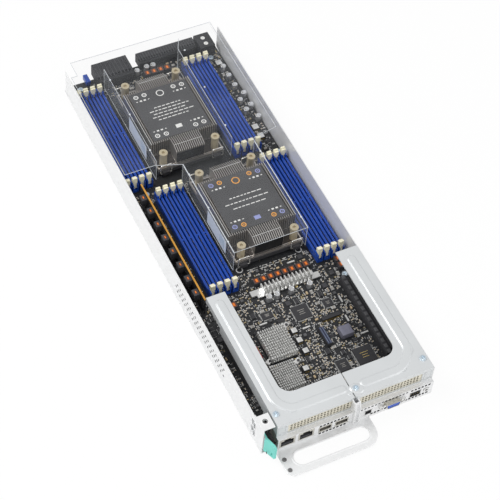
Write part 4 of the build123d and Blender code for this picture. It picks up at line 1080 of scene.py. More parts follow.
def band(path: list[Flat], half: float) -> list[Flat]:
    """Outline of a band along a line, with round ends.

    Args:
        path: Points of its middle line.
        half: Half of its width.

    Returns:
        Points of the outline in order.
    """
    left, right = [], []
    for i, point in enumerate(path):
        run = Vector(path[min(i + 1, len(path) - 1)]) - Vector(path[max(i - 1, 0)])
        side = Vector((-run.y, run.x)).normalized() * half
        left.append((point[0] + side.x, point[1] + side.y))
        right.append((point[0] - side.x, point[1] - side.y))

    def cap(end: Flat, first: Flat) -> list[Flat]:
        """Half circle about an end, from one side to the other.

        Args:
            end: Middle of the half circle.
            first: Where it starts.

        Returns:
            Its points in order.
        """
        turn = math.atan2(first[1] - end[1], first[0] - end[0])
        angles = [turn - math.pi * k / 10 for k in range(1, 10)]
        return [(end[0] + half * math.cos(a), end[1] + half * math.sin(a)) for a in angles]

    return left + cap(path[-1], left[-1]) + right[::-1] + cap(path[0], right[0])


PORT_END = -257.0
BOARD_TOP = 6.6
CAGE_SPAN = (-34.85, -2.15)


def along(distance: float) -> float:
    """Y of a place given by its distance from the port end.

    Args:
        distance: Distance from the port end in millimetres.

    Returns:
        The place's Y in millimetres.
    """
    return PORT_END + distance


@dataclass
class Tray:
    """Folded tray, port panel and divider."""

    wall_top: float = 38.0
    inner: float = 93.0
    hole: Flat = (-87.5, 10.2)
    tab_top: float = 40.5
    vents: tuple[float, float, float, float, float] = (-92.97, 84.0, 209.0, 9.0, 31.0)
    panel: float = -3.85
    vent: float = 2.6
    bores: tuple[float, float, int, float] = (88.0, 6.2, 19, 1.45)
    bore_rise: float = 0.87
    bore_foot: float = 0.85
    bore_depth: float = 0.8
    pitch: float = 3.9
    insets: int = 14
    inset_start: float = 11.0
    rows: tuple[tuple[float, float, float], ...] = (
        (CAGE_SPAN[0], CAGE_SPAN[1], 16.7), (CAGE_SPAN[0], CAGE_SPAN[1], 3.4),
        (66.8, 92.0, 17.0), (22.6, 92.0, 3.4),
    )
    backing: tuple[tuple[float, float, float, float], ...] = (
        (-35.5, -1.0, 16.3, 19.5), (24.5, 29.0, 15.4, 19.5), (61.8, 91.5, 15.4, 19.5),
        (22.5, 91.5, 2.2, 6.3), (-36.5, 1.5, 2.6, 6.3),
    )

    def build(self) -> None:
        """Dress the sheet metal and add its pressed ring, dimples and painted shade in its vents
        and holes.
        """
        for node in ("chassis_tray", "io_panel", "divider_post"):
            dress(node, Paint.ZINC)
        self._corner()
        self._walls()

    def _corner(self) -> None:
        """Raised ring round the corner hole."""
        draft = Draft()
        x, y = self.hole
        draft.ring((x, along(y), self.tab_top - 0.05), 3.9, 2.7, 0.35, Paint.ZINC)
        draft.ring((x, along(y), self.tab_top - 0.02), 2.9, 1.9, 0.12, Paint.STEEL)
        draft.piece("corner_ring")

    def _walls(self) -> None:
        """Pressed dimples on both walls, and painted shade where the tray's vents and holes show
        its shaded inside.
        """
        draft = Draft()
        for side in (-1, 1):
            x = side * (self.inner + 0.5)
            for distance in (110.0, 210.0, 310.0, 410.0):
                foot = (x - 0.5 if side > 0 else x + 0.5, along(distance), self.wall_top - 5.0)
                rise = -0.35 if side > 0 else 0.35
                draft.rod(foot, 1.6, rise, Paint.ZINC, "X", tip=1.0)
        draft.piece("wall_dimples")
        draft = Draft()
        # Painted shade: a dark sheet just inside the left wall's vents.
        x, y0, y1, z0, z1 = self.vents
        draft.box((x, along(y0), z0), (x + 0.15, along(y1), z1), Paint.DARK)
        # Painted shade: dark six-sided bores standing for the wall's holes.
        start, pitch, count, radius = self.bores
        for row in (-1, 0, 1):
            for column in range(count):
                y = along(start + (column + (row % 2 == 0) / 2) * pitch)
                z = self.wall_top / 2 + row * pitch * self.bore_rise
                foot = (-self.inner - self.bore_foot, y, z)
                draft.rod(foot, radius, self.bore_depth, Paint.DARK, "X", sides=6)
        # Painted shade: dark sheets behind the port panel's vents.
        for x0, x1, z0, z1 in self.backing:
            low = (x0, along(self.panel), z0)
            draft.box(low, (x1, along(self.panel + 0.15), z1), Paint.DARK)
        self._vents(draft)
        draft.piece("vent_painted_shade")

    def _vents(self, draft: Draft) -> None:
        """Painted shade: dark lining in the panel's square vents, and dark insets that stand for
        vents above the video port.

        Args:
            draft: The draft that takes them.
        """
        face = along(self.panel - 1.13)
        for x0, x1, z in self.rows:
            for i in range(int((x1 - x0) / self.pitch)):
                x = x0 + (i + 0.5) * self.pitch
                low = (x - self.vent / 2 + 0.01, face, z + 0.01)
                high = (x + self.vent / 2 - 0.01, face + 1.1, z + self.vent - 0.01)
                draft.liner(low, high, Paint.DARK, 0.04)
        for i in range(self.insets):
            x = self.inset_start + i * self.pitch
            draft.box((x, face - 0.06, 17.6), (x + 2.3, face + 0.02, 19.4), Paint.DARK)


@dataclass
class PullHandle:
    """Flat plate handle with a softly rounded finger slot."""

    left: float = -81.0
    right: float = 21.6
    root: float = 12.0
    reach: float = 36.5
    floor_top: float = 1.0
    sheet: float = 1.5
    slot: tuple[float, float, float, float] = (-60.0, 5.6, -20.5, 8.0)
    ear: tuple[Flat, ...] = ((-5.4, -0.8), (-5.4, 9.0), (-7.4, 9.0), (-13.8, -0.8))
    ear_width: float = 1.0
    rim: tuple[Flat, ...] = ((2.2, 0.0), (1.5, 0.28), (0.8, 0.35), (0.2, 0.15), (0.0, -0.3))
    rim_sides: int = 40

    def build(self) -> None:
        """Replace the plain plate with one whose rims are rounded."""
        x0, x1, y, radius = self.slot
        outer = [
            (self.left, self.root, 0.0),
            (self.left, -self.reach + 5.0, 1.2),
            (self.left + 5.0, -self.reach, 1.2),
            (self.right, -self.reach, 15.9),
            (self.right, self.root, 0.0),
        ]
        hole = [
            (x0 - radius, y - radius, radius - 0.01),
            (x1 + radius, y - radius, radius - 0.01),
            (x1 + radius, y + radius, radius - 0.01),
            (x0 - radius, y + radius, radius - 0.01),
        ]
        outlines = [[(px, along(py), r) for px, py, r in line] for line in (outer, hole)]
        mesh = plate_curve("handle_plate", outlines, self.sheet, 0.35)
        mesh.transform(Matrix.Translation((0.0, 0.0, self.floor_top * MM)))
        mesh.materials.clear()
        mesh.materials.append(Paint.ZINC.material())
        plate = bpy.data.objects.new("handle_plate", mesh)
        bpy.context.scene.collection.objects.link(plate)
        adopt(plate, CHASSIS, ("pull_handle",))
        self._rim(x0, x1, y, radius)
        dress("handle_screws", Paint.STEEL)

    def _rim(self, x0: float, x1: float, y: float, radius: float) -> None:
        """Rolled rim round the slot, and the bent ear at the left.

        Args:
            x0: Centre of the slot's left end.
            x1: Centre of its right end.
            y: Its middle, from the port end.
            radius: Its half width.
        """
        draft = Draft()
        top = self.floor_top + self.sheet
        sides = [
            [(self.left + shift, along(y), top + z) for y, z in self.ear]
            for shift in (0.0, self.ear_width)
        ]
        draft.loft(sides, Paint.SPRING, False)
        rows = []
        for grow, height in self.rim:
            ring = []
            for i in range(self.rim_sides):
                angle = math.tau * (i + 0.5) / self.rim_sides - math.pi / 2
                centre = x1 if math.cos(angle) > 0 else x0
                reach = radius + grow
                px, py = centre + reach * math.cos(angle), y + reach * math.sin(angle)
                ring.append((px, along(py), top + height))
            rows.append(ring)
        draft.skin(rows, Paint.ZINC)
        draft.piece("handle_rim")


@dataclass
class ReleaseLatch:
    """Sprung release strip with its plastic tab."""

    slot_start: float = 5.6
    slot_length: float = 1.8
    slot_rows: Flat = (11.0, 14.5)

    def build(self) -> None:
        """Dress the strip, its rivets and the tab, and paint shade in the tab's slot."""
        for node in ("latch_root", "latch_arm"):
            dress(node, Paint.SPRING)
        dress("latch_rivets", Paint.TIN)
        dress("latch_tab", Paint.TEAL)
        tab = node_box("latch_tab")
        draft = Draft()
        y = tab.low[1] + self.slot_start
        low, high = self.slot_rows
        # Painted shade: thin dark marks on both faces where the slot runs through the tab.
        for x in (tab.low[0] - 0.03, tab.high[0] - 0.02):
            draft.box((x, y, low), (x + 0.05, y + self.slot_length, high), Paint.DARK)
        draft.piece("tab_slot_shade", "release_strip")


@dataclass
class RiserBrackets:
    """The two L-shaped riser brackets with their slot covers and screws."""

    top: float = 39.9
    half: float = 4.0
    rise: float = 1.0
    lines: tuple[tuple[Flat, ...], ...] = (
        ((-68.9, 152.0), (-68.9, 25.5), (-58.0, 12.8), (-3.0, 12.8)),
        ((79.6, 150.0), (79.6, 28.0), (63.0, 11.4), (21.0, 11.4)),
    )
    pad: Flat = (10.0, 9.0)
    dimple: Flat = (1.8, 5.6)
    cover_rows: tuple[float, float] = (21.6, 35.6)
    cover_middles: Flat = (-32.0, 46.0)
    frames: tuple[Flat, ...] = ((-77.6, -69.2), (83.4, 91.2))
    frame_face: Flat = (-0.3, 0.1)
    frame_rows: Flat = (22.6, 35.0)
    frame_bar: float = 0.6

    def build(self) -> None:
        """Dress the brackets, covers and screws, and soften the pressed forms."""
        for node in ("riser_bracket_left", "riser_bracket_right"):
            dress(node, Paint.BRACKET)
        dress("slot_covers", Paint.COVER)
        dress("bracket_screws", Paint.SCREW)
        draft = Draft()
        for line in self.lines:
            places = [(x, along(y)) for x, y in line]
            draft.bead(places, self.half, self.top, self.rise, Paint.BRACKET)
        x, y = self.dimple
        draft.ring((x, along(y), self.top), 2.2, 0.8, 0.5, Paint.BRACKET)
        (y0, y1), (low, high), bar = map(along, self.frame_face), self.frame_rows, self.frame_bar
        for x0, x1 in self.frames:
            for z in (low, high - bar):
                draft.box((x0, y0, z), (x1, y1, z + bar), Paint.BRACKET, 0.1)
            for left in (x0, x1 - bar):
                draft.box((left, y0, low), (left + bar, y1, high), Paint.BRACKET, 0.1)
        draft.piece("bracket_beads")
        self._pad()
        self._backing()

    def _pad(self) -> None:
        """Raised pad under the middle screw."""
        draft = Draft()
        x, y = self.pad
        ends = [(x - 0.6, along(y) + 0.4), (x + 2.2, along(y) - 1.6)]
        draft.bead(ends, 4.9, self.top, 0.8, Paint.BRACKET)
        draft.piece("screw_pad")

    def _backing(self) -> None:
        """Painted shade: dark sheets behind the perforated covers."""
        draft = Draft()
        low, high = self.cover_rows
        for x in self.cover_middles:
            draft.box((x - 34.0, along(2.4), low), (x + 34.0, along(2.6), high), Paint.DARK)
        draft.piece("cover_painted_shade")


@dataclass
class MemoryBanks:
    """Four banks of memory sockets with their latches."""

    names: tuple[str, ...] = ("near_left", "near_right", "far_left", "far_right")
    slot_width: float = 1.3
    floor: float = 8.6
    liner_top: float = 15.2

    def build(self) -> None:
        """Dress sockets and latches, and line every card slot with painted shade and gold contacts.
        """
        for name in self.names:
            dress(f"memory_sockets_{name}", Paint.BLUE)
            for end in ("inner", "outer"):
                dress(f"latches_{name}_{end}", Paint.IVORY)
            self._contacts(name)

    def _contacts(self, name: str) -> None:
        """Painted shade as a dark liner on the floor, walls and lips of each slot of a bank, and
        two rows of gold contacts.

        Args:
            name: The bank.
        """
        draft = Draft()
        for socket in solids(f"memory_sockets_{name}"):
            x, y = socket.middle
            start, end, key = y - 64.0, y + 64.0, y + 4.0
            for low, high in ((start, key - 1.2), (key + 1.2, end)):
                left, right = x - self.slot_width / 2, x + self.slot_width / 2
                draft.box((left, low, self.floor), (right, high, self.floor + 0.6), Paint.DARK)
                for side in (-1, 1):
                    wall = x + side * 0.72
                    box = (wall - 0.08, low, self.floor), (wall + 0.08, high, self.liner_top - 2.2)
                    draft.box(*box, Paint.DARK)
                    rail = x + side * 1.05
                    foot = (rail - 0.36, low, self.liner_top)
                    draft.box(foot, (rail + 0.36, high, self.liner_top + 0.08), Paint.DARK)
                    count = int((high - low) / 1.7)
                    for i in range(count):
                        place = low + (i + 0.5) * (high - low) / count
                        x0, x1 = sorted((wall - side * 0.1, wall - side * 0.3))
                        top = self.liner_top - 1.0
                        gold = (x0, place - 0.3, self.floor + 1.0), (x1, place + 0.3, top)
                        draft.box(*gold, Paint.GOLD)
        draft.piece(f"slot_shade_and_contacts_{name}")


@dataclass
class Label:
    """Plain printed marks on one heat sink's label."""

    index: int
    outer: Finish
    inner: Finish
    rows: tuple[tuple[float, float], ...]

    def build(self, draft: Draft) -> None:
        """Rings and blocks at the corners, rows of bars in the middle.

        Args:
            draft: The draft that takes them.
        """
        label = solids("heatsink_labels")[self.index]
        x, y = label.middle
        top = label.high[2]
        source = random.Random(self.index + 3)
        for i in (-1, 1):
            for j in (-1, 1):
                for u, v, finish in ((27.5, 30.0, self.outer), (17.5, 30.5, self.inner)):
                    draft.ring((x + i * u, y + j * v, top - 0.01), 2.9, 1.7, 0.06, finish)
                    draft.rod((x + i * u, y + j * v, top - 0.02), 0.7, 0.06, finish, sides=10)
                for k in range(4):
                    place = (x + i * (15.0 + k * 4.6), y + j * 23.4, top - 0.02)
                    size = (2.6, 2.0, 0.06) if k % 3 else (1.7, 1.0, 0.06)
                    draft.block(place, size, Paint.WHITE)
        for v, width in self.rows:
            place = -width / 2
            while place < width / 2:
                word = source.uniform(2.2, 5.5)
                middle = (x + place + word / 2, y + v, top - 0.02)
                draft.block(middle, (word, 1.1, 0.05), Paint.WHITE)
                place += word + 1.3


@dataclass
class HeatSinks:
    """Both processors with their carriers, finned heat sinks, nuts and bails."""

    radius: float = 0.7
    width: float = 13.0
    base: float = 3.5
    end_width: float = 33.4
    body: float = 78.4
    length: float = 113.2
    step: float = 8.0
    top: float = 37.4

    def build(self) -> None:
        """Dress the stack, print the labels and bend the bails."""
        for name in ("near", "far"):
            dress(f"heatsink_{name}", Paint.FIN)
            self._shade(name)
            for end in ("inner", "outer"):
                self._bails(name, end)
        dress("processor_sockets", Paint.CHARCOAL)
        dress("processors", Paint.LID)
        dress("processor_carriers", Paint.BLACK)
        dress("heatsink_labels", Paint.LABEL)
        dress("torque_nuts", Paint.NUT)
        self._labels()

    def _shade(self, name: str) -> None:
        """Painted shade and highlights: dark corner plates, end faces and end lips, the bright step
        of each narrow end and bright long top edges.

        Args:
            name: The heat sink.
        """
        draft = Draft()
        sink = solids(f"heatsink_{name}")[0]
        x, y = sink.middle
        base = sink.low[2] + self.base
        half, reach = sink.size[0] / 2, sink.size[1] / 2
        # Painted shade in the base's corners and on each end face, where the fin gaps lie in shade.
        for j in (-1, 1):
            for i in (-1, 1):
                x0, x1 = sorted((x + i * (self.end_width / 2 + 0.3), x + i * (half - 1.5)))
                y0, y1 = sorted((y + j * (self.body / 2 + 0.3), y + j * (reach - 2.5)))
                draft.box((x0, y0, base), (x1, y1, base + 0.2), Paint.UMBER)
            end = y + j * (self.length / 2)
            y0, y1 = sorted((end + j * 0.05, end + j * 0.3))
            span = self.end_width / 2 - 0.4
            draft.box((x - span, y0, base), (x + span, y1, self.top - 5.5), Paint.DARK)
            step = y + j * (self.length / 2 - self.step)
            # Painted highlight on the step of each narrow end.
            low = (x - span, step - 0.35, self.top - 0.1)
            draft.box(low, (x + span, step + 0.35, self.top + 0.25), Paint.PALE)
            # Painted shade along the foot of each end.
            lip = y + j * (reach - 0.9)
            low = (x - half + 4.0, lip - 0.2, base)
            draft.box(low, (x + half - 4.0, lip + 0.2, base + 0.3), Paint.UMBER)
        # Painted highlight along the long top edges.
        for i in (-1, 1):
            edge = x + i * (half - 0.4)
            low = (edge - 0.4, y - self.body / 2, self.top - 0.05)
            draft.box(low, (edge + 0.4, y + self.body / 2, self.top + 0.25), Paint.PALE)
        draft.piece(f"sink_painted_light_{name}")

    def _bails(self, name: str, end: str) -> None:
        """Round wire bails in place of the six-sided ones.

        Args:
            name: The heat sink.
            end: The end of the heat sink.
        """
        node = f"wire_bails_{name}_{end}"
        draft = Draft()
        for bail in solids(node):
            x, y = bail.middle
            low, high = bail.low[2] + self.radius, bail.high[2] - self.radius
            half = self.width / 2
            foot = 2.0
            line = [(x - foot, low), (x - half, low), (x - half, high)]
            line += [(x + half, high), (x + half, low), (x + foot, low)]
            draft.wire([(px, y, pz) for px, pz in line], self.radius, 2.4, Paint.WIRE)
        draft.piece(f"bail_wires_{name}_{end}", f"{node}_pair", (node,))

    def _labels(self) -> None:
        """Plain blocks, rings and bars on the two labels."""
        draft = Draft()
        far = ((8.5, 30.0), (4.0, 44.0), (-0.5, 38.0), (-5.0, 44.0), (-9.5, 34.0))
        Label(0, Paint.WHITE, Paint.WHITE, far).build(draft)
        Label(1, Paint.LILAC, Paint.AMBER, ((6.0, 34.0), (-1.0, 50.0), (-8.0, 38.0))).build(draft)
        for index, finish, height in ((0, Paint.WHITE, -25.0), (1, Paint.LILAC, -27.0)):
            label = solids("heatsink_labels")[index]
            x, y = label.middle
            draft.block((x, y + height, label.high[2] - 0.02), (7.0, 5.0, 0.06), finish)
            ink = Paint.WHITE if index == 0 else Paint.AMBER
            draft.ring((x, y + 27.0, label.high[2] - 0.01), 4.6, 3.4, 0.06, ink)
        draft.piece("label_marks")


@dataclass
class AirDuct:
    """Clear duct over the far half."""

    body: str = "duct"
    top: float = 40.5
    foot: float = 10.6
    outline: tuple[Flat, ...] = (
        (-91.7, 343.0), (-58.0, 343.0), (-29.2, 333.0), (-29.2, 204.0), (56.4, 204.0),
        (56.4, 337.0), (87.0, 343.0), (87.0, 516.0), (-84.5, 516.0), (-84.5, 495.0), (-91.7, 495.0),
    )
    walls: tuple[tuple[Flat, ...], ...] = (
        ((-28.6, 204.0), (-28.6, 333.0)), ((55.8, 204.0), (55.8, 333.0)),
        ((-53.4, 347.0), (-53.4, 493.0)), ((35.8, 347.0), (35.8, 491.0), (42.8, 505.0)),
    )
    patches: tuple[tuple[float, float, float], ...] = (
        (-29.25, 222.0, 268.0), (-54.05, 372.0, 420.0),
    )
    edge: float = 0.28
    rivets: tuple[float, ...] = (0.12, 0.5, 0.88)
    rivet_radius: float = 1.1
    rivet_rise: float = 0.35
    patch_rows: Flat = (17.0, 37.0)

    def build(self) -> None:
        """Dress the sheet and add painted highlights along its edges, its rivets and its patches.
        """
        dress("air_duct", Paint.CLEAR)
        draft = Draft()
        outline = [(x, along(y)) for x, y in self.outline]
        # Painted highlight along the sheet's outline; the walls' edges below get the same.
        for start, end in zip(outline, outline[1:] + outline[:1]):
            self._line(draft, (*start, self.top - 0.05), (*end, self.top - 0.05))
        for wall in self.walls:
            points = [(x, along(y)) for x, y in wall]
            for start, end in zip(points, points[1:]):
                self._line(draft, (*start, self.top), (*end, self.top))
                self._line(draft, (*start, self.foot), (*end, self.foot))
            for x, y in (points[0], points[-1]):
                self._line(draft, (x, y, self.foot), (x, y, self.top - 0.4))
            for share in self.rivets:
                (x0, y0), (x1, y1) = points[0], points[-1]
                place = (x0 + (x1 - x0) * share, y0 + (y1 - y0) * share, self.top - 0.02)
                draft.rod(place, self.rivet_radius, self.rivet_rise, Paint.RIM, sides=16)
        draft.piece("duct_edge_highlights", self.body)
        draft = Draft()
        for x, y0, y1 in self.patches:
            low, high = self.patch_rows
            draft.box((x - 0.12, along(y0), low), (x, along(y1), high), Paint.FROST)
            for k in range(4):
                place = along(y0 + 5.0 + k * 3.0)
                draft.box((x - 0.2, place, 20.0 + k), (x - 0.1, place + 1.0, 34.0), Paint.SKY)
        draft.piece("duct_patches", self.body)

    def _line(self, draft: Draft, start: Point, end: Point) -> None:
        """One edge of the sheet, drawn as a painted highlight.

        Args:
            draft: The draft that takes it.
            start: Its start.
            end: Its end.
        """
        draft.wire([start, end], self.edge, 0.0, Paint.RIM)


@dataclass
class Ports:
    """Ports behind the panel."""

    face: float = -5.0
    jacks: Flat = (-69.0, -48.5)
    jack_mouth: Flat = (13.6, 8.4)
    jack_key: Flat = (7.2, 1.9)
    cages: Flat = (-27.6, -9.4)
    cage: Flat = (14.5, 9.5)
    small: tuple[float, float, float] = (20.0, 7.5, 7.5)
    data: tuple[float, float, float] = (73.0, 12.4, 8.6)
    button: Flat = (85.4, 11.4)

    def build(self) -> None:
        """Dress the ports and fill their mouths with painted shade, contacts, springs and collars.
        """
        finishes = {
            "network_ports": Paint.PORT, "cage_ports": Paint.PORT,
            "video_port_shell": Paint.PORT, "video_port_insert": Paint.VIDEO,
            "jack_screws": Paint.TIN, "small_ports": Paint.BLACK,
            "power_button": Paint.PALE, "button_switch": Paint.CHARCOAL,
        }
        for node, finish in finishes.items():
            dress(node, finish)
        draft = Draft()
        for x in self.jacks:
            self._jack(draft, x)
        for x in self.cages:
            self._cage(draft, x)
        self._data(draft)
        x, z = self.button
        draft.rod((x, along(self.face - 1.05), z), 1.5, 0.12, Paint.CHARCOAL, "Y")
        draft.piece("port_mouths")

    def _jack(self, draft: Draft, x: float) -> None:
        """Painted shade in the mouth and key notch of one network jack, with its gold contacts and
        lower lip.

        Args:
            draft: The draft that takes them.
            x: Its middle.
        """
        width, height = self.jack_mouth
        z = BOARD_TOP + 1.4
        start, end = along(self.face + 0.05), along(self.face + 16.9)
        half = width / 2 - 0.02
        # Painted shade deep in the jack's mouth.
        draft.liner((x - half, start, z + 0.02), (x + half, end, z + height - 0.02), Paint.DARK)
        key, rise = self.jack_key
        top = z + height
        # Painted shade in the key notch above the mouth.
        for side in (-1, 1):
            wall = x + side * (key / 2 - 0.1)
            draft.box((wall - 0.08, start, top), (wall + 0.08, end, top + rise), Paint.DARK)
        for i in range(8):
            place = x + (i - 3.5) * 1.02
            low = (place - 0.18, start + 2.5, top - 1.9)
            draft.box(low, (place + 0.18, end, top - 1.6), Paint.GOLD)
        lip = (x - half + 0.5, start + 0.6, z + 0.15)
        draft.box(lip, (x + half - 0.5, start + 3.0, z + 2.4), Paint.CHARCOAL, 0.2)

    def _cage(self, draft: Draft, x: float) -> None:
        """Painted shade lining the mouth of one cage port, with its tongue and spring fingers.

        Args:
            draft: The draft that takes them.
            x: Its middle.
        """
        width, height = self.cage
        half, z = width / 2 - 1.02, BOARD_TOP + 1.02
        start, end = along(self.face + 0.05), along(self.face + 19.9)
        top = BOARD_TOP + height - 1.02
        # Painted shade deep in the cage's mouth.
        draft.liner((x - half, start, z), (x + half, end, top), Paint.DARK)
        tongue = z + (top - z) / 2
        low = (x - half + 1.0, start + 9.0, tongue)
        draft.box(low, (x + half - 1.0, end, tongue + 1.0), Paint.CHARCOAL)
        for i in range(4):
            place = x + (i - 1.5) * 3.0
            low = (place - 0.9, start - 0.02, top - 0.5)
            draft.box(low, (place + 0.9, start + 3.0, top - 0.2), Paint.TIN)

    def _data(self, draft: Draft) -> None:
        """Metal collars of the dark data port and the small port, and the data port's gold tongue.

        Args:
            draft: The draft that takes them.
        """
        for x, width, height in (self.data, self.small):
            half = width / 2
            z, top = BOARD_TOP, BOARD_TOP + height
            start = along(self.face - 0.25)
            for x0, x1 in ((x - half - 0.5, x - half + 0.3), (x + half - 0.3, x + half + 0.5)):
                draft.box((x0, start, z - 0.3), (x1, start + 0.3, top + 0.3), Paint.TIN)
            for z0 in (z - 0.4, top - 0.3):
                low = (x - half - 0.5, start, z0)
                draft.box(low, (x + half + 0.5, start + 0.3, z0 + 0.7), Paint.TIN)
        x, width, height = self.data
        middle = BOARD_TOP + height / 2
        for i in range(4):
            place = x + (i - 1.5) * 2.4
            low = (place - 0.6, along(self.face + 0.4), middle - 0.75)
            draft.box(low, (place + 0.6, along(self.face + 9.0), middle - 0.6), Paint.GOLD)


class Chip(Enum):
    """Looks of the flat chips, by size."""

    SMALL = "small"
    LEADED = "leaded"
    LARGE = "large"


@dataclass
class Zone:
    """A strip of the board that carries small parts."""

    low: Flat
    high: Flat
    fill: float = 0.8


@dataclass
class SmallParts:
    """Chip resistors, capacitors, transistors and printed marks between the large parts."""

    seed: int = 11
    cell: float = 0.5
    pitch: Flat = (2.5, 1.9)
    strip: float = -66.0
    shift: float = 0.5
    zones: tuple[Zone, ...] = (
        Zone((-66.0, 26.0), (74.0, 158.0), 0.93),
        Zone((-64.0, 158.0), (74.0, 182.0), 0.8),
        Zone((-90.0, 22.0), (-66.0, 330.0), 0.6),
        Zone((-28.0, 182.0), (58.0, 200.0), 0.5),
        Zone((70.0, 158.0), (90.0, 500.0), 0.6),
        Zone((-90.0, 318.0), (90.0, 336.0), 0.7),
        Zone((-90.0, 480.0), (90.0, 508.0), 0.7),
        Zone((-66.0, 6.0), (90.0, 26.0), 0.4),
    )
    keepers: tuple[str, ...] = (
        "voltage_coils", "capacitors", "bar_heatsink", "pin_fin_heatsinks", "chips",
        "board_connectors", "edge_connectors", "processor_carriers", "network_ports",
        "cage_ports", "video_port_shell", "small_ports", "board_screws", "riser_card",
        "power_connector", "signal_connector", "guide_block", "button_switch",
    )
    used: set[tuple[int, int]] = field(default_factory=set)

    def build(self) -> None:
        """Set out the parts, zone by zone, so that none stands in another."""
        source = random.Random(self.seed)
        for node in self.keepers:
            for solid in solids(node):
                self._claim(solid.low[:2], solid.high[:2], 0.5)
        for bank in MemoryBanks().names:
            for solid in solids(f"memory_sockets_{bank}"):
                low, high = solid.low[:2], solid.high[:2]
                self._claim((low[0], low[1] - 2.5), (high[0], high[1] + 2.5), 0.4)
        self._claim((68.5, along(46.0)), (74.5, along(150.0)), 0.2)
        draft = Draft()
        for zone in self.zones:
            self._packages(zone, source, draft)
        for zone in self.zones:
            self._fill(zone, source, draft)
        draft.piece("small_parts")

    def _cells(self, low: Flat, high: Flat, grow: float) -> list[tuple[int, int]]:
        """Cells under a rectangle.

        Args:
            low: Its lowest corner.
            high: Its highest corner.
            grow: Margin round it.

        Returns:
            The cells.
        """
        x0, y0 = (math.floor((v - grow) / self.cell) for v in low)
        x1, y1 = (math.ceil((v + grow) / self.cell) for v in high)
        return [(i, j) for i in range(x0, x1) for j in range(y0, y1)]

    def _claim(self, low: Flat, high: Flat, grow: float) -> None:
        """Keep a rectangle free of small parts.

        Args:
            low: Its lowest corner.
            high: Its highest corner.
            grow: Margin round it.
        """
        self.used.update(self._cells(low, high, grow))

    def _packages(self, zone: Zone, source: random.Random, draft: Draft) -> None:
        """Set out the middling packages of a zone.

        Args:
            zone: The zone.
            source: Where the chances come from.
            draft: The draft that takes them.
        """
        kinds = (
            (6.4, 4.4, 1.5, Paint.BLACK, True), (4.4, 3.4, 1.3, Paint.BLACK, True),
            (7.2, 3.0, 1.6, Paint.BLACK, True), (3.6, 2.8, 1.9, Paint.ASH, False),
            (5.2, 5.2, 1.2, Paint.CHARCOAL, False), (3.2, 1.8, 1.5, Paint.TAN, False),
            (8.4, 1.6, 1.2, Paint.TIN, False), (3.0, 3.0, 2.0, Paint.GRAPHITE, False),
        )
        width, height = (high - low for low, high in zip(zone.low, zone.high))
        for _ in range(int(width * height * zone.fill / 95.0)):
            kind = source.choice(kinds)
            x = source.uniform(zone.low[0] + 4.0, zone.high[0] - 4.0)
            y = along(source.uniform(zone.low[1] + 4.0, zone.high[1] - 4.0))
            turned = source.random() < 0.5
            size = (kind[1], kind[0]) if turned else (kind[0], kind[1])
            low, high = (x - size[0] / 2, y - size[1] / 2), (x + size[0] / 2, y + size[1] / 2)
            cells = self._cells(low, high, 0.9)
            if not self.used.isdisjoint(cells):
                continue
            self.used.update(cells)
            draft.block((x, y, BOARD_TOP), (*size, kind[2]), kind[3])
            if kind[4]:
                self._leads(draft, (x, y), size, turned)

    def _leads(self, draft: Draft, where: Flat, size: Flat, turned: bool) -> None:
        """Two rows of leads along a package's long sides.

        Args:
            draft: The draft that takes them.
            where: Middle of the package.
            size: Its width and length.
            turned: Whether its long sides run along Y.
        """
        run, across = (size[1], size[0]) if turned else size
        count = int(run / 1.1)
        for i in range(count):
            reach = (i + 0.5) * run / count - run / 2
            for side in (-1, 1):
                out = side * (across / 2 + 0.35)
                x, y = (out, reach) if turned else (reach, out)
                cap = (0.8, 0.5) if turned else (0.5, 0.8)
                draft.block((where[0] + x, where[1] + y, BOARD_TOP), (*cap, 0.4), Paint.TIN)

    def _fill(self, zone: Zone, source: random.Random, draft: Draft) -> None:
        """Fill one zone.

        Args:
            zone: The zone.
            source: Where the chances come from.
            draft: The draft that takes the parts.
        """
        step_x, step_y = self.pitch
        columns = int((zone.high[0] - zone.low[0]) / step_x)
        rows = int((zone.high[1] - zone.low[1]) / step_y)
        for i in range(columns):
            for j in range(rows):
                x = zone.low[0] + (i + 0.5 + source.uniform(-0.2, 0.2)) * step_x
                y = along(zone.low[1] + (j + 0.5 + source.uniform(-0.2, 0.2)) * step_y)
                pick, turned = source.random(), source.random() < 0.4
                wave = math.sin(x * 0.31 + 2.0 * math.sin(y * 0.17))
                cluster = 0.15 + wave * math.cos(y * 0.27 + x * 0.11)
                if source.random() < zone.fill * (0.72 + 0.4 * cluster):
                    self._part(draft, x, y, pick, turned)

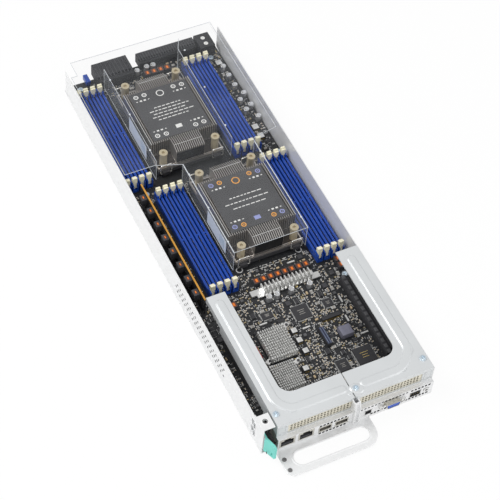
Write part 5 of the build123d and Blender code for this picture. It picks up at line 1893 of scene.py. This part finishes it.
    def _part(self, draft: Draft, x: float, y: float, pick: float, turned: bool) -> None:
        """One small part, if its place is free.

        Args:
            draft: The draft that takes it.
            x: Its middle.
            y: Its middle.
            pick: Chance from 0 to 1 that chooses its kind.
            turned: Whether it lies along Y.
        """
        kinds = (
            (0.30, 1.9, 1.0, 0.8, Paint.TAN, Paint.TIN),
            (0.50, 1.6, 0.8, 0.5, Paint.CHARCOAL, Paint.TIN),
            (0.64, 2.2, 1.3, 1.1, Paint.ASH, Paint.TIN),
            (0.76, 2.4, 1.6, 0.9, Paint.CHARCOAL, Paint.TIN),
            (0.84, 2.0, 1.2, 0.8, Paint.ASH, Paint.GOLD),
            (0.90, 4.2, 3.2, 1.3, Paint.ASH, Paint.TIN),
            (1.01, 2.2, 0.3, 0.02, Paint.WHITE, None),
        )
        if x < self.strip and pick >= kinds[-2][0]:
            pick -= self.shift
        _, length, width, height, body, ends = next(kind for kind in kinds if pick < kind[0])
        size = (width, length) if turned else (length, width)
        low, high = (x - size[0] / 2, y - size[1] / 2), (x + size[0] / 2, y + size[1] / 2)
        cells = self._cells(low, high, 0.0)
        if not self.used.isdisjoint(cells):
            return
        self.used.update(cells)
        draft.block((x, y, BOARD_TOP), (*size, height), body)
        if ends is None:
            return
        for side in (-1, 1):
            shift = side * (length / 2 - 0.2)
            place = (x, y + shift) if turned else (x + shift, y)
            cap = (width + 0.06, 0.52) if turned else (0.52, width + 0.06)
            draft.block((*place, BOARD_TOP), (*cap, height + 0.03), ends)


@dataclass
class Board:
    """Main board and everything soldered to it."""

    strip: tuple[float, float, float, float] = (68.5, 74.5, 46.0, 150.0)
    stripe: tuple[float, float, float, float] = (-48.3, -46.9, 93.8, 109.1)
    ears: tuple[Flat, ...] = ((-8.6, 120.7), (-16.8, 77.0), (-43.4, 87.4))
    silver_below: float = 8.5
    large_above: float = 19.0
    lead_pitch: float = 1.3
    lead_reach: float = 0.6
    lead: Flat = (0.62, 1.5)
    ribbed: tuple[tuple[str, int, float, float], ...] = (
        ("power_connector", 10, 0.5, 0.5), ("signal_connector", 22, 0.6, 0.35),
    )
    ring: Flat = (-21.0, 204.0)

    def build(self) -> None:
        """Dress the large parts, detail them and set out the small ones."""
        finishes = {
            "main_board": Paint.MASK, "board_standoffs": Paint.TIN, "board_screws": Paint.SCREW,
            "voltage_coils": Paint.CHARCOAL, "capacitors": Paint.CAN, "bar_heatsink": Paint.PALE,
            "pin_fin_heatsinks": Paint.PALE, "chips": Paint.BLACK, "board_connectors": Paint.BLACK,
            "edge_connectors": Paint.BLACK, "riser_card": Paint.MASK,
            "card_coils": Paint.CHARCOAL, "power_connector": Paint.BLACK,
            "signal_connector": Paint.BLACK, "guide_block": Paint.BLACK,
        }
        for node, finish in finishes.items():
            dress(node, finish)
        for build in (self._coils, self._chips, self._connectors, self._strip, self._card):
            draft = Draft()
            build(draft)
            draft.piece(build.__name__.strip("_") + "_detail")
        SmallParts().build()

    def _coils(self, draft: Draft) -> None:
        """Brown window and orange winding on each coil, and a base under each can.

        Args:
            draft: The draft that takes them.
        """
        for coil in solids("voltage_coils"):
            (x, y), (width, length, _), top = coil.middle, coil.size, coil.high[2]
            draft.block((x, y, top - 0.02), (width * 0.74, length * 0.86, 0.1), Paint.BROWN)
            draft.block((x + 0.3, y, top + 0.05), (width * 0.3, length * 0.52, 0.1), Paint.ORANGE)
        for can in solids("capacitors"):
            (x, y), width = can.middle, can.size[0]
            draft.block((x, y, BOARD_TOP), (width + 0.5, width + 0.5, 0.9), Paint.CHARCOAL, 0.2)
            draft.ring((x, y, can.high[2] - 0.02), width / 2 - 0.1, width / 2 - 0.7, 0.2, Paint.CAN)
            place = (x - width * 0.28, y, can.high[2])
            draft.block(place, (width * 0.2, width * 0.6, 0.04), Paint.ASH)
        x, y = self.ring
        for shift in (0.0, 69.0):
            draft.ring((x + shift, along(y), BOARD_TOP), 3.8, 2.6, 0.08, Paint.TIN)
        source = random.Random(5)
        for row in (197.5, 200.0, 184.0):
            place = -14.0
            while place < 44.0:
                bar = source.uniform(1.0, 6.0)
                middle = (place + bar / 2, along(row), BOARD_TOP)
                draft.block(middle, (bar, 0.5, 0.04), Paint.WHITE)
                place += bar + source.uniform(0.7, 2.6)

    def _chips(self, draft: Draft) -> None:
        """Leads, marks and metal tops of the chips, by size.

        Args:
            draft: The draft that takes them.
        """
        for chip in solids("chips"):
            (x, y), (width, length, _), top = chip.middle, chip.size, chip.high[2]
            look = Chip.LEADED
            if max(width, length) < self.silver_below:
                look = Chip.SMALL
            elif min(width, length) > self.large_above:
                look = Chip.LARGE
            if look is Chip.SMALL:
                draft.block((x, y, top - 0.02), (width * 0.86, length * 0.86, 0.3), Paint.TIN, 0.1)
                draft.block((x, y, top + 0.26), (width * 0.6, length * 0.6, 0.1), Paint.PALE, 0.05)
                for side in (-1, 1):
                    end = (x, y + side * (length / 2 + 0.3), BOARD_TOP)
                    draft.block(end, (width * 0.7, 0.7, 0.8), Paint.GOLD)
                continue
            self._row_leads(draft, (x, y), (width, length), False)
            self._row_leads(draft, (x, y), (width, length), True)
            ink = Paint.GOLD if look is Chip.LARGE else Paint.ASH
            for i, share in enumerate((0.45, 0.3, 0.36)):
                bar = (width * share, 0.5, 0.03)
                draft.block((x, y + (1 - i) * length * 0.14, top - 0.005), bar, ink)

    def _row_leads(self, draft: Draft, middle: Flat, size: Flat, turned: bool) -> None:
        """Leads along two facing edges of a chip.

        Args:
            draft: The draft that takes them.
            middle: Middle of the chip.
            size: Its width and length.
            turned: Whether the edges run along Y.
        """
        run, across = size[::-1] if turned else size
        count = int(run / self.lead_pitch)
        for i in range(count):
            reach = (i + 0.5 - count / 2) * self.lead_pitch
            for side in (-1, 1):
                shift = side * (across / 2 + self.lead_reach)
                if turned:
                    place = (middle[0] + shift, middle[1] + reach, BOARD_TOP)
                    draft.block(place, self.lead[::-1] + (0.4,), Paint.TIN)
                else:
                    place = (middle[0] + reach, middle[1] + shift, BOARD_TOP)
                    draft.block(place, self.lead + (0.4,), Paint.TIN)

    def _connectors(self, draft: Draft) -> None:
        """Card connector's contacts, the mezzanine's slots, the mauve block and the ribs.

        Args:
            draft: The draft that takes them.
        """
        for part in solids("board_connectors"):
            (x, y), (width, length, _), top = part.middle, part.size, part.high[2]
            if width > 1.5 * length:
                for side, ink in ((1, Paint.TIN), (-1, Paint.GOLD)):
                    edge = (x, y + side * (length / 2 + 0.35), BOARD_TOP)
                    draft.block(edge, (width * 0.96, 0.7, 1.4), ink)
            elif length > 1.5 * width:
                draft.block((x, y, top - 0.02), (width * 0.9, length * 0.97, 0.1), Paint.NAVY)
                for i in range(int(length / 1.4)):
                    place = y - length * 0.44 + i * 1.4
                    for side in (-1, 1):
                        rib = (x + side * width * 0.24, place, top)
                        draft.block(rib, (width * 0.2, 0.7, 0.16), Paint.SLATE)
            else:
                size = (width + 0.1, length + 0.1, top - BOARD_TOP + 0.06)
                draft.block((x, y, BOARD_TOP), size, Paint.MAUVE, 0.5)
                for side in (-1, 1):
                    pad = (width * 0.28, length * 0.8, 0.12)
                    draft.block((x + side * width * 0.2, y, top), pad, Paint.MAUVE, 0.05)
        for x, y in self.ears:
            draft.block((x, along(y), BOARD_TOP), (7.5, 5.0, 3.6), Paint.PALE, 0.4, 28.0)
            draft.rod((x + 0.8, along(y) - 0.4, BOARD_TOP + 3.5), 1.5, 0.9, Paint.CHARCOAL)
        for node, count, half, rise in self.ribbed:
            part = solids(node)[0]
            for i in range(count):
                x = part.low[0] + (i + 0.5) * part.size[0] / count
                low = (x - half, part.low[1] + 1.0, part.high[2] - 0.02)
                high = (x + half, part.high[1] - 1.0, part.high[2] + rise)
                draft.box(low, high, Paint.CHARCOAL)
        guide = solids("guide_block")[0]
        x, y = guide.middle
        for shift in (-5.0, 4.0):
            draft.ring((x, y + shift, guide.high[2] - 0.02), 2.6, 0.4, 0.3, Paint.WHITE)
        draft.block((-67.0, along(512.0), BOARD_TOP), (5.0, 12.0, 6.5), Paint.BLUE, 0.3)

    def _strip(self, draft: Draft) -> None:
        """Ribbed riser slot beside the right bracket and the red printed stripe.

        Args:
            draft: The draft that takes them.
        """
        x0, x1, y0, y1 = self.strip
        draft.box((x0, along(y0), BOARD_TOP), (x1, along(y1), 15.0), Paint.BLACK, 0.3)
        for i in range(15):
            place = along(y0 + 2.0 + i * (y1 - y0 - 4.0) / 14)
            low = (x0 + 1.6, place - 2.3, 14.9)
            draft.box(low, (x1 - 1.0, place + 2.3, 15.2), Paint.GRAPHITE, 0.1)
        x0, x1, y0, y1 = self.stripe
        draft.box((x0, along(y0), BOARD_TOP), (x1, along(y1), BOARD_TOP + 2.4), Paint.RED)

    def _card(self, draft: Draft) -> None:
        """Amber edge of the tall card and the orange windings beside it.

        Args:
            draft: The draft that takes them.
        """
        card = solids("riser_card")[0]
        low, high = card.low, card.high
        foot = (low[0] - 0.02, low[1], high[2] - 0.9)
        draft.box(foot, (high[0] + 0.02, high[1], high[2] + 0.05), Paint.EDGE)
        for coil in solids("card_coils"):
            (x, y), length, top = coil.middle, coil.size[1], coil.high[2]
            draft.block((x, y, top - 0.02), (2.2, length * 0.55, 0.1), Paint.BROWN)
            draft.block((x, y, top + 0.06), (1.1, length * 0.34, 0.1), Paint.ORANGE)


@dataclass(frozen=True)
class Studio:
    """Camera, floor and lamps."""

    target: Point = (-4.5, -42.4, 20.0)
    yaw: float = -30.01
    pitch: float = 52.58
    roll: float = 5.6
    distance: float = 1711.4
    lens: float = 117.98
    sensor: float = 36.0
    room: float = 0.55
    floor_glow: float = 0.93
    lamps: tuple[tuple[str, Point, float, float], ...] = (
        ("key", (-0.9, 0.5, 1.5), 0.8, 15.5),
        ("fill", (1.1, -0.9, 1.2), 1.2, 7.0),
        ("front", (-0.7, -1.4, 0.9), 0.9, 6.5),
    )

    def build(self) -> None:
        """Make the floor, the lamps and the camera."""
        self._camera()
        self._floor()
        self._lamps()
        bpy.context.scene.view_settings.view_transform = "Standard"

    def _camera(self) -> None:
        """Camera at the photograph's angle."""
        a, e, r = (math.radians(v) for v in (self.yaw, self.pitch, self.roll))
        back = Vector((math.sin(a) * math.cos(e), -math.cos(a) * math.cos(e), math.sin(e)))
        right = Vector((math.cos(a), math.sin(a), 0.0))
        up = back.cross(right)
        x_axis = right * math.cos(r) + up * math.sin(r)
        y_axis = up * math.cos(r) - right * math.sin(r)
        data = bpy.data.cameras.new("photo_camera")
        data.lens = self.lens
        data.sensor_width = self.sensor
        data.clip_start, data.clip_end = 0.1, 20.0
        camera = bpy.data.objects.new("photo_camera", data)
        turn = Matrix((x_axis, y_axis, back)).transposed().to_4x4()
        place = Vector(self.target) * MM + back * self.distance * MM
        camera.matrix_world = Matrix.Translation(place) @ turn
        bpy.context.scene.collection.objects.link(camera)
        bpy.context.scene.camera = camera

    def _floor(self) -> None:
        """Pale floor that reads white to the camera and keeps a soft shadow."""
        graph = Graph("pale_floor")
        tone = graph.mix(graph.noise(0.004, 2.0), (0.86, 0.86, 0.86), (0.90, 0.90, 0.90))
        plain = graph.node("ShaderNodeBsdfDiffuse", {}, {"Color": tone})
        glow = graph.node("ShaderNodeEmission", {}, {"Color": (1.0, 1.0, 1.0), "Strength": 1.0})
        seen = seen_ray(graph)
        both = graph.node("ShaderNodeMixShader", {}, {0: seen * self.floor_glow, 1: plain, 2: glow})
        graph.tree.links.new(both.out, graph.output.inputs["Surface"])
        mesh = bpy.data.meshes.new("floor")
        reach = 6.0
        corners = [(-reach, -reach, 0.0), (reach, -reach, 0.0), (reach, reach, 0.0)]
        mesh.from_pydata([*corners, (-reach, reach, 0.0)], [], [(0, 1, 2, 3)])
        mesh.materials.append(graph.material)
        floor = bpy.data.objects.new("floor", mesh)
        floor.location.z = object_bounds()[0].z - 0.0005
        bpy.context.scene.collection.objects.link(floor)
        floor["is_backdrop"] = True

    def _lamps(self) -> None:
        """Even room light with a large soft key and a fill."""
        world = bpy.data.worlds.new("room")
        bpy.context.scene.world = world
        world.use_nodes = True
        tree = world.node_tree
        tree.nodes.clear()
        output = tree.nodes.new("ShaderNodeOutputWorld")
        light = tree.nodes.new("ShaderNodeBackground")
        light.inputs["Strength"].default_value = self.room
        white = tree.nodes.new("ShaderNodeBackground")
        white.inputs["Strength"].default_value = 1.0
        for shade in (light, white):
            shade.inputs["Color"].default_value = (1.0, 1.0, 1.0, 1.0)
        path = tree.nodes.new("ShaderNodeLightPath")
        most = tree.nodes.new("ShaderNodeMath")
        most.operation = "MAXIMUM"
        tree.links.new(path.outputs["Is Camera Ray"], most.inputs[0])
        tree.links.new(path.outputs["Is Transmission Ray"], most.inputs[1])
        mixed = tree.nodes.new("ShaderNodeMixShader")
        tree.links.new(most.outputs[0], mixed.inputs[0])
        tree.links.new(light.outputs[0], mixed.inputs[1])
        tree.links.new(white.outputs[0], mixed.inputs[2])
        tree.links.new(mixed.outputs[0], output.inputs["Surface"])
        for lamp in self.lamps:
            self._lamp(*lamp)

    def _lamp(self, name: str, place: Point, size: float, power: float) -> None:
        """One square area lamp that faces the object.

        Args:
            name: Its name.
            place: Where it stands, in metres.
            size: Its side in metres.
            power: Its power in watts.
        """
        data = bpy.data.lights.new(name, "AREA")
        data.size = size
        data.energy = power
        lamp = bpy.data.objects.new(name, data)
        lamp.location = place
        lamp.rotation_mode = "QUATERNION"
        lamp.rotation_quaternion = Vector(place).to_track_quat("Z", "Y")
        bpy.context.scene.collection.objects.link(lamp)


def seen_ray(graph: Graph) -> Sock:
    """Mask of the rays that show the floor as background.

    Args:
        graph: The material's graph.

    Returns:
        1 for camera, glossy and transmission rays.
    """
    camera = graph.node("ShaderNodeLightPath", out="Is Camera Ray")
    glossy = Sock(graph, camera.out.node.outputs["Is Glossy Ray"])
    through = Sock(graph, camera.out.node.outputs["Is Transmission Ray"])
    most = graph.node("ShaderNodeMath", {"operation": "MAXIMUM"}, {0: camera, 1: glossy})
    return graph.node("ShaderNodeMath", {"operation": "MAXIMUM"}, {0: most, 1: through})


def main() -> None:
    """Build the sub-assemblies in order, then the studio."""
    logging.basicConfig(level=logging.INFO, format="%(message)s")
    Tray().build()
    PullHandle().build()
    ReleaseLatch().build()
    RiserBrackets().build()
    MemoryBanks().build()
    HeatSinks().build()
    AirDuct().build()
    Ports().build()
    Board().build()
    Studio().build()


if __name__ == "__main__":
    main()
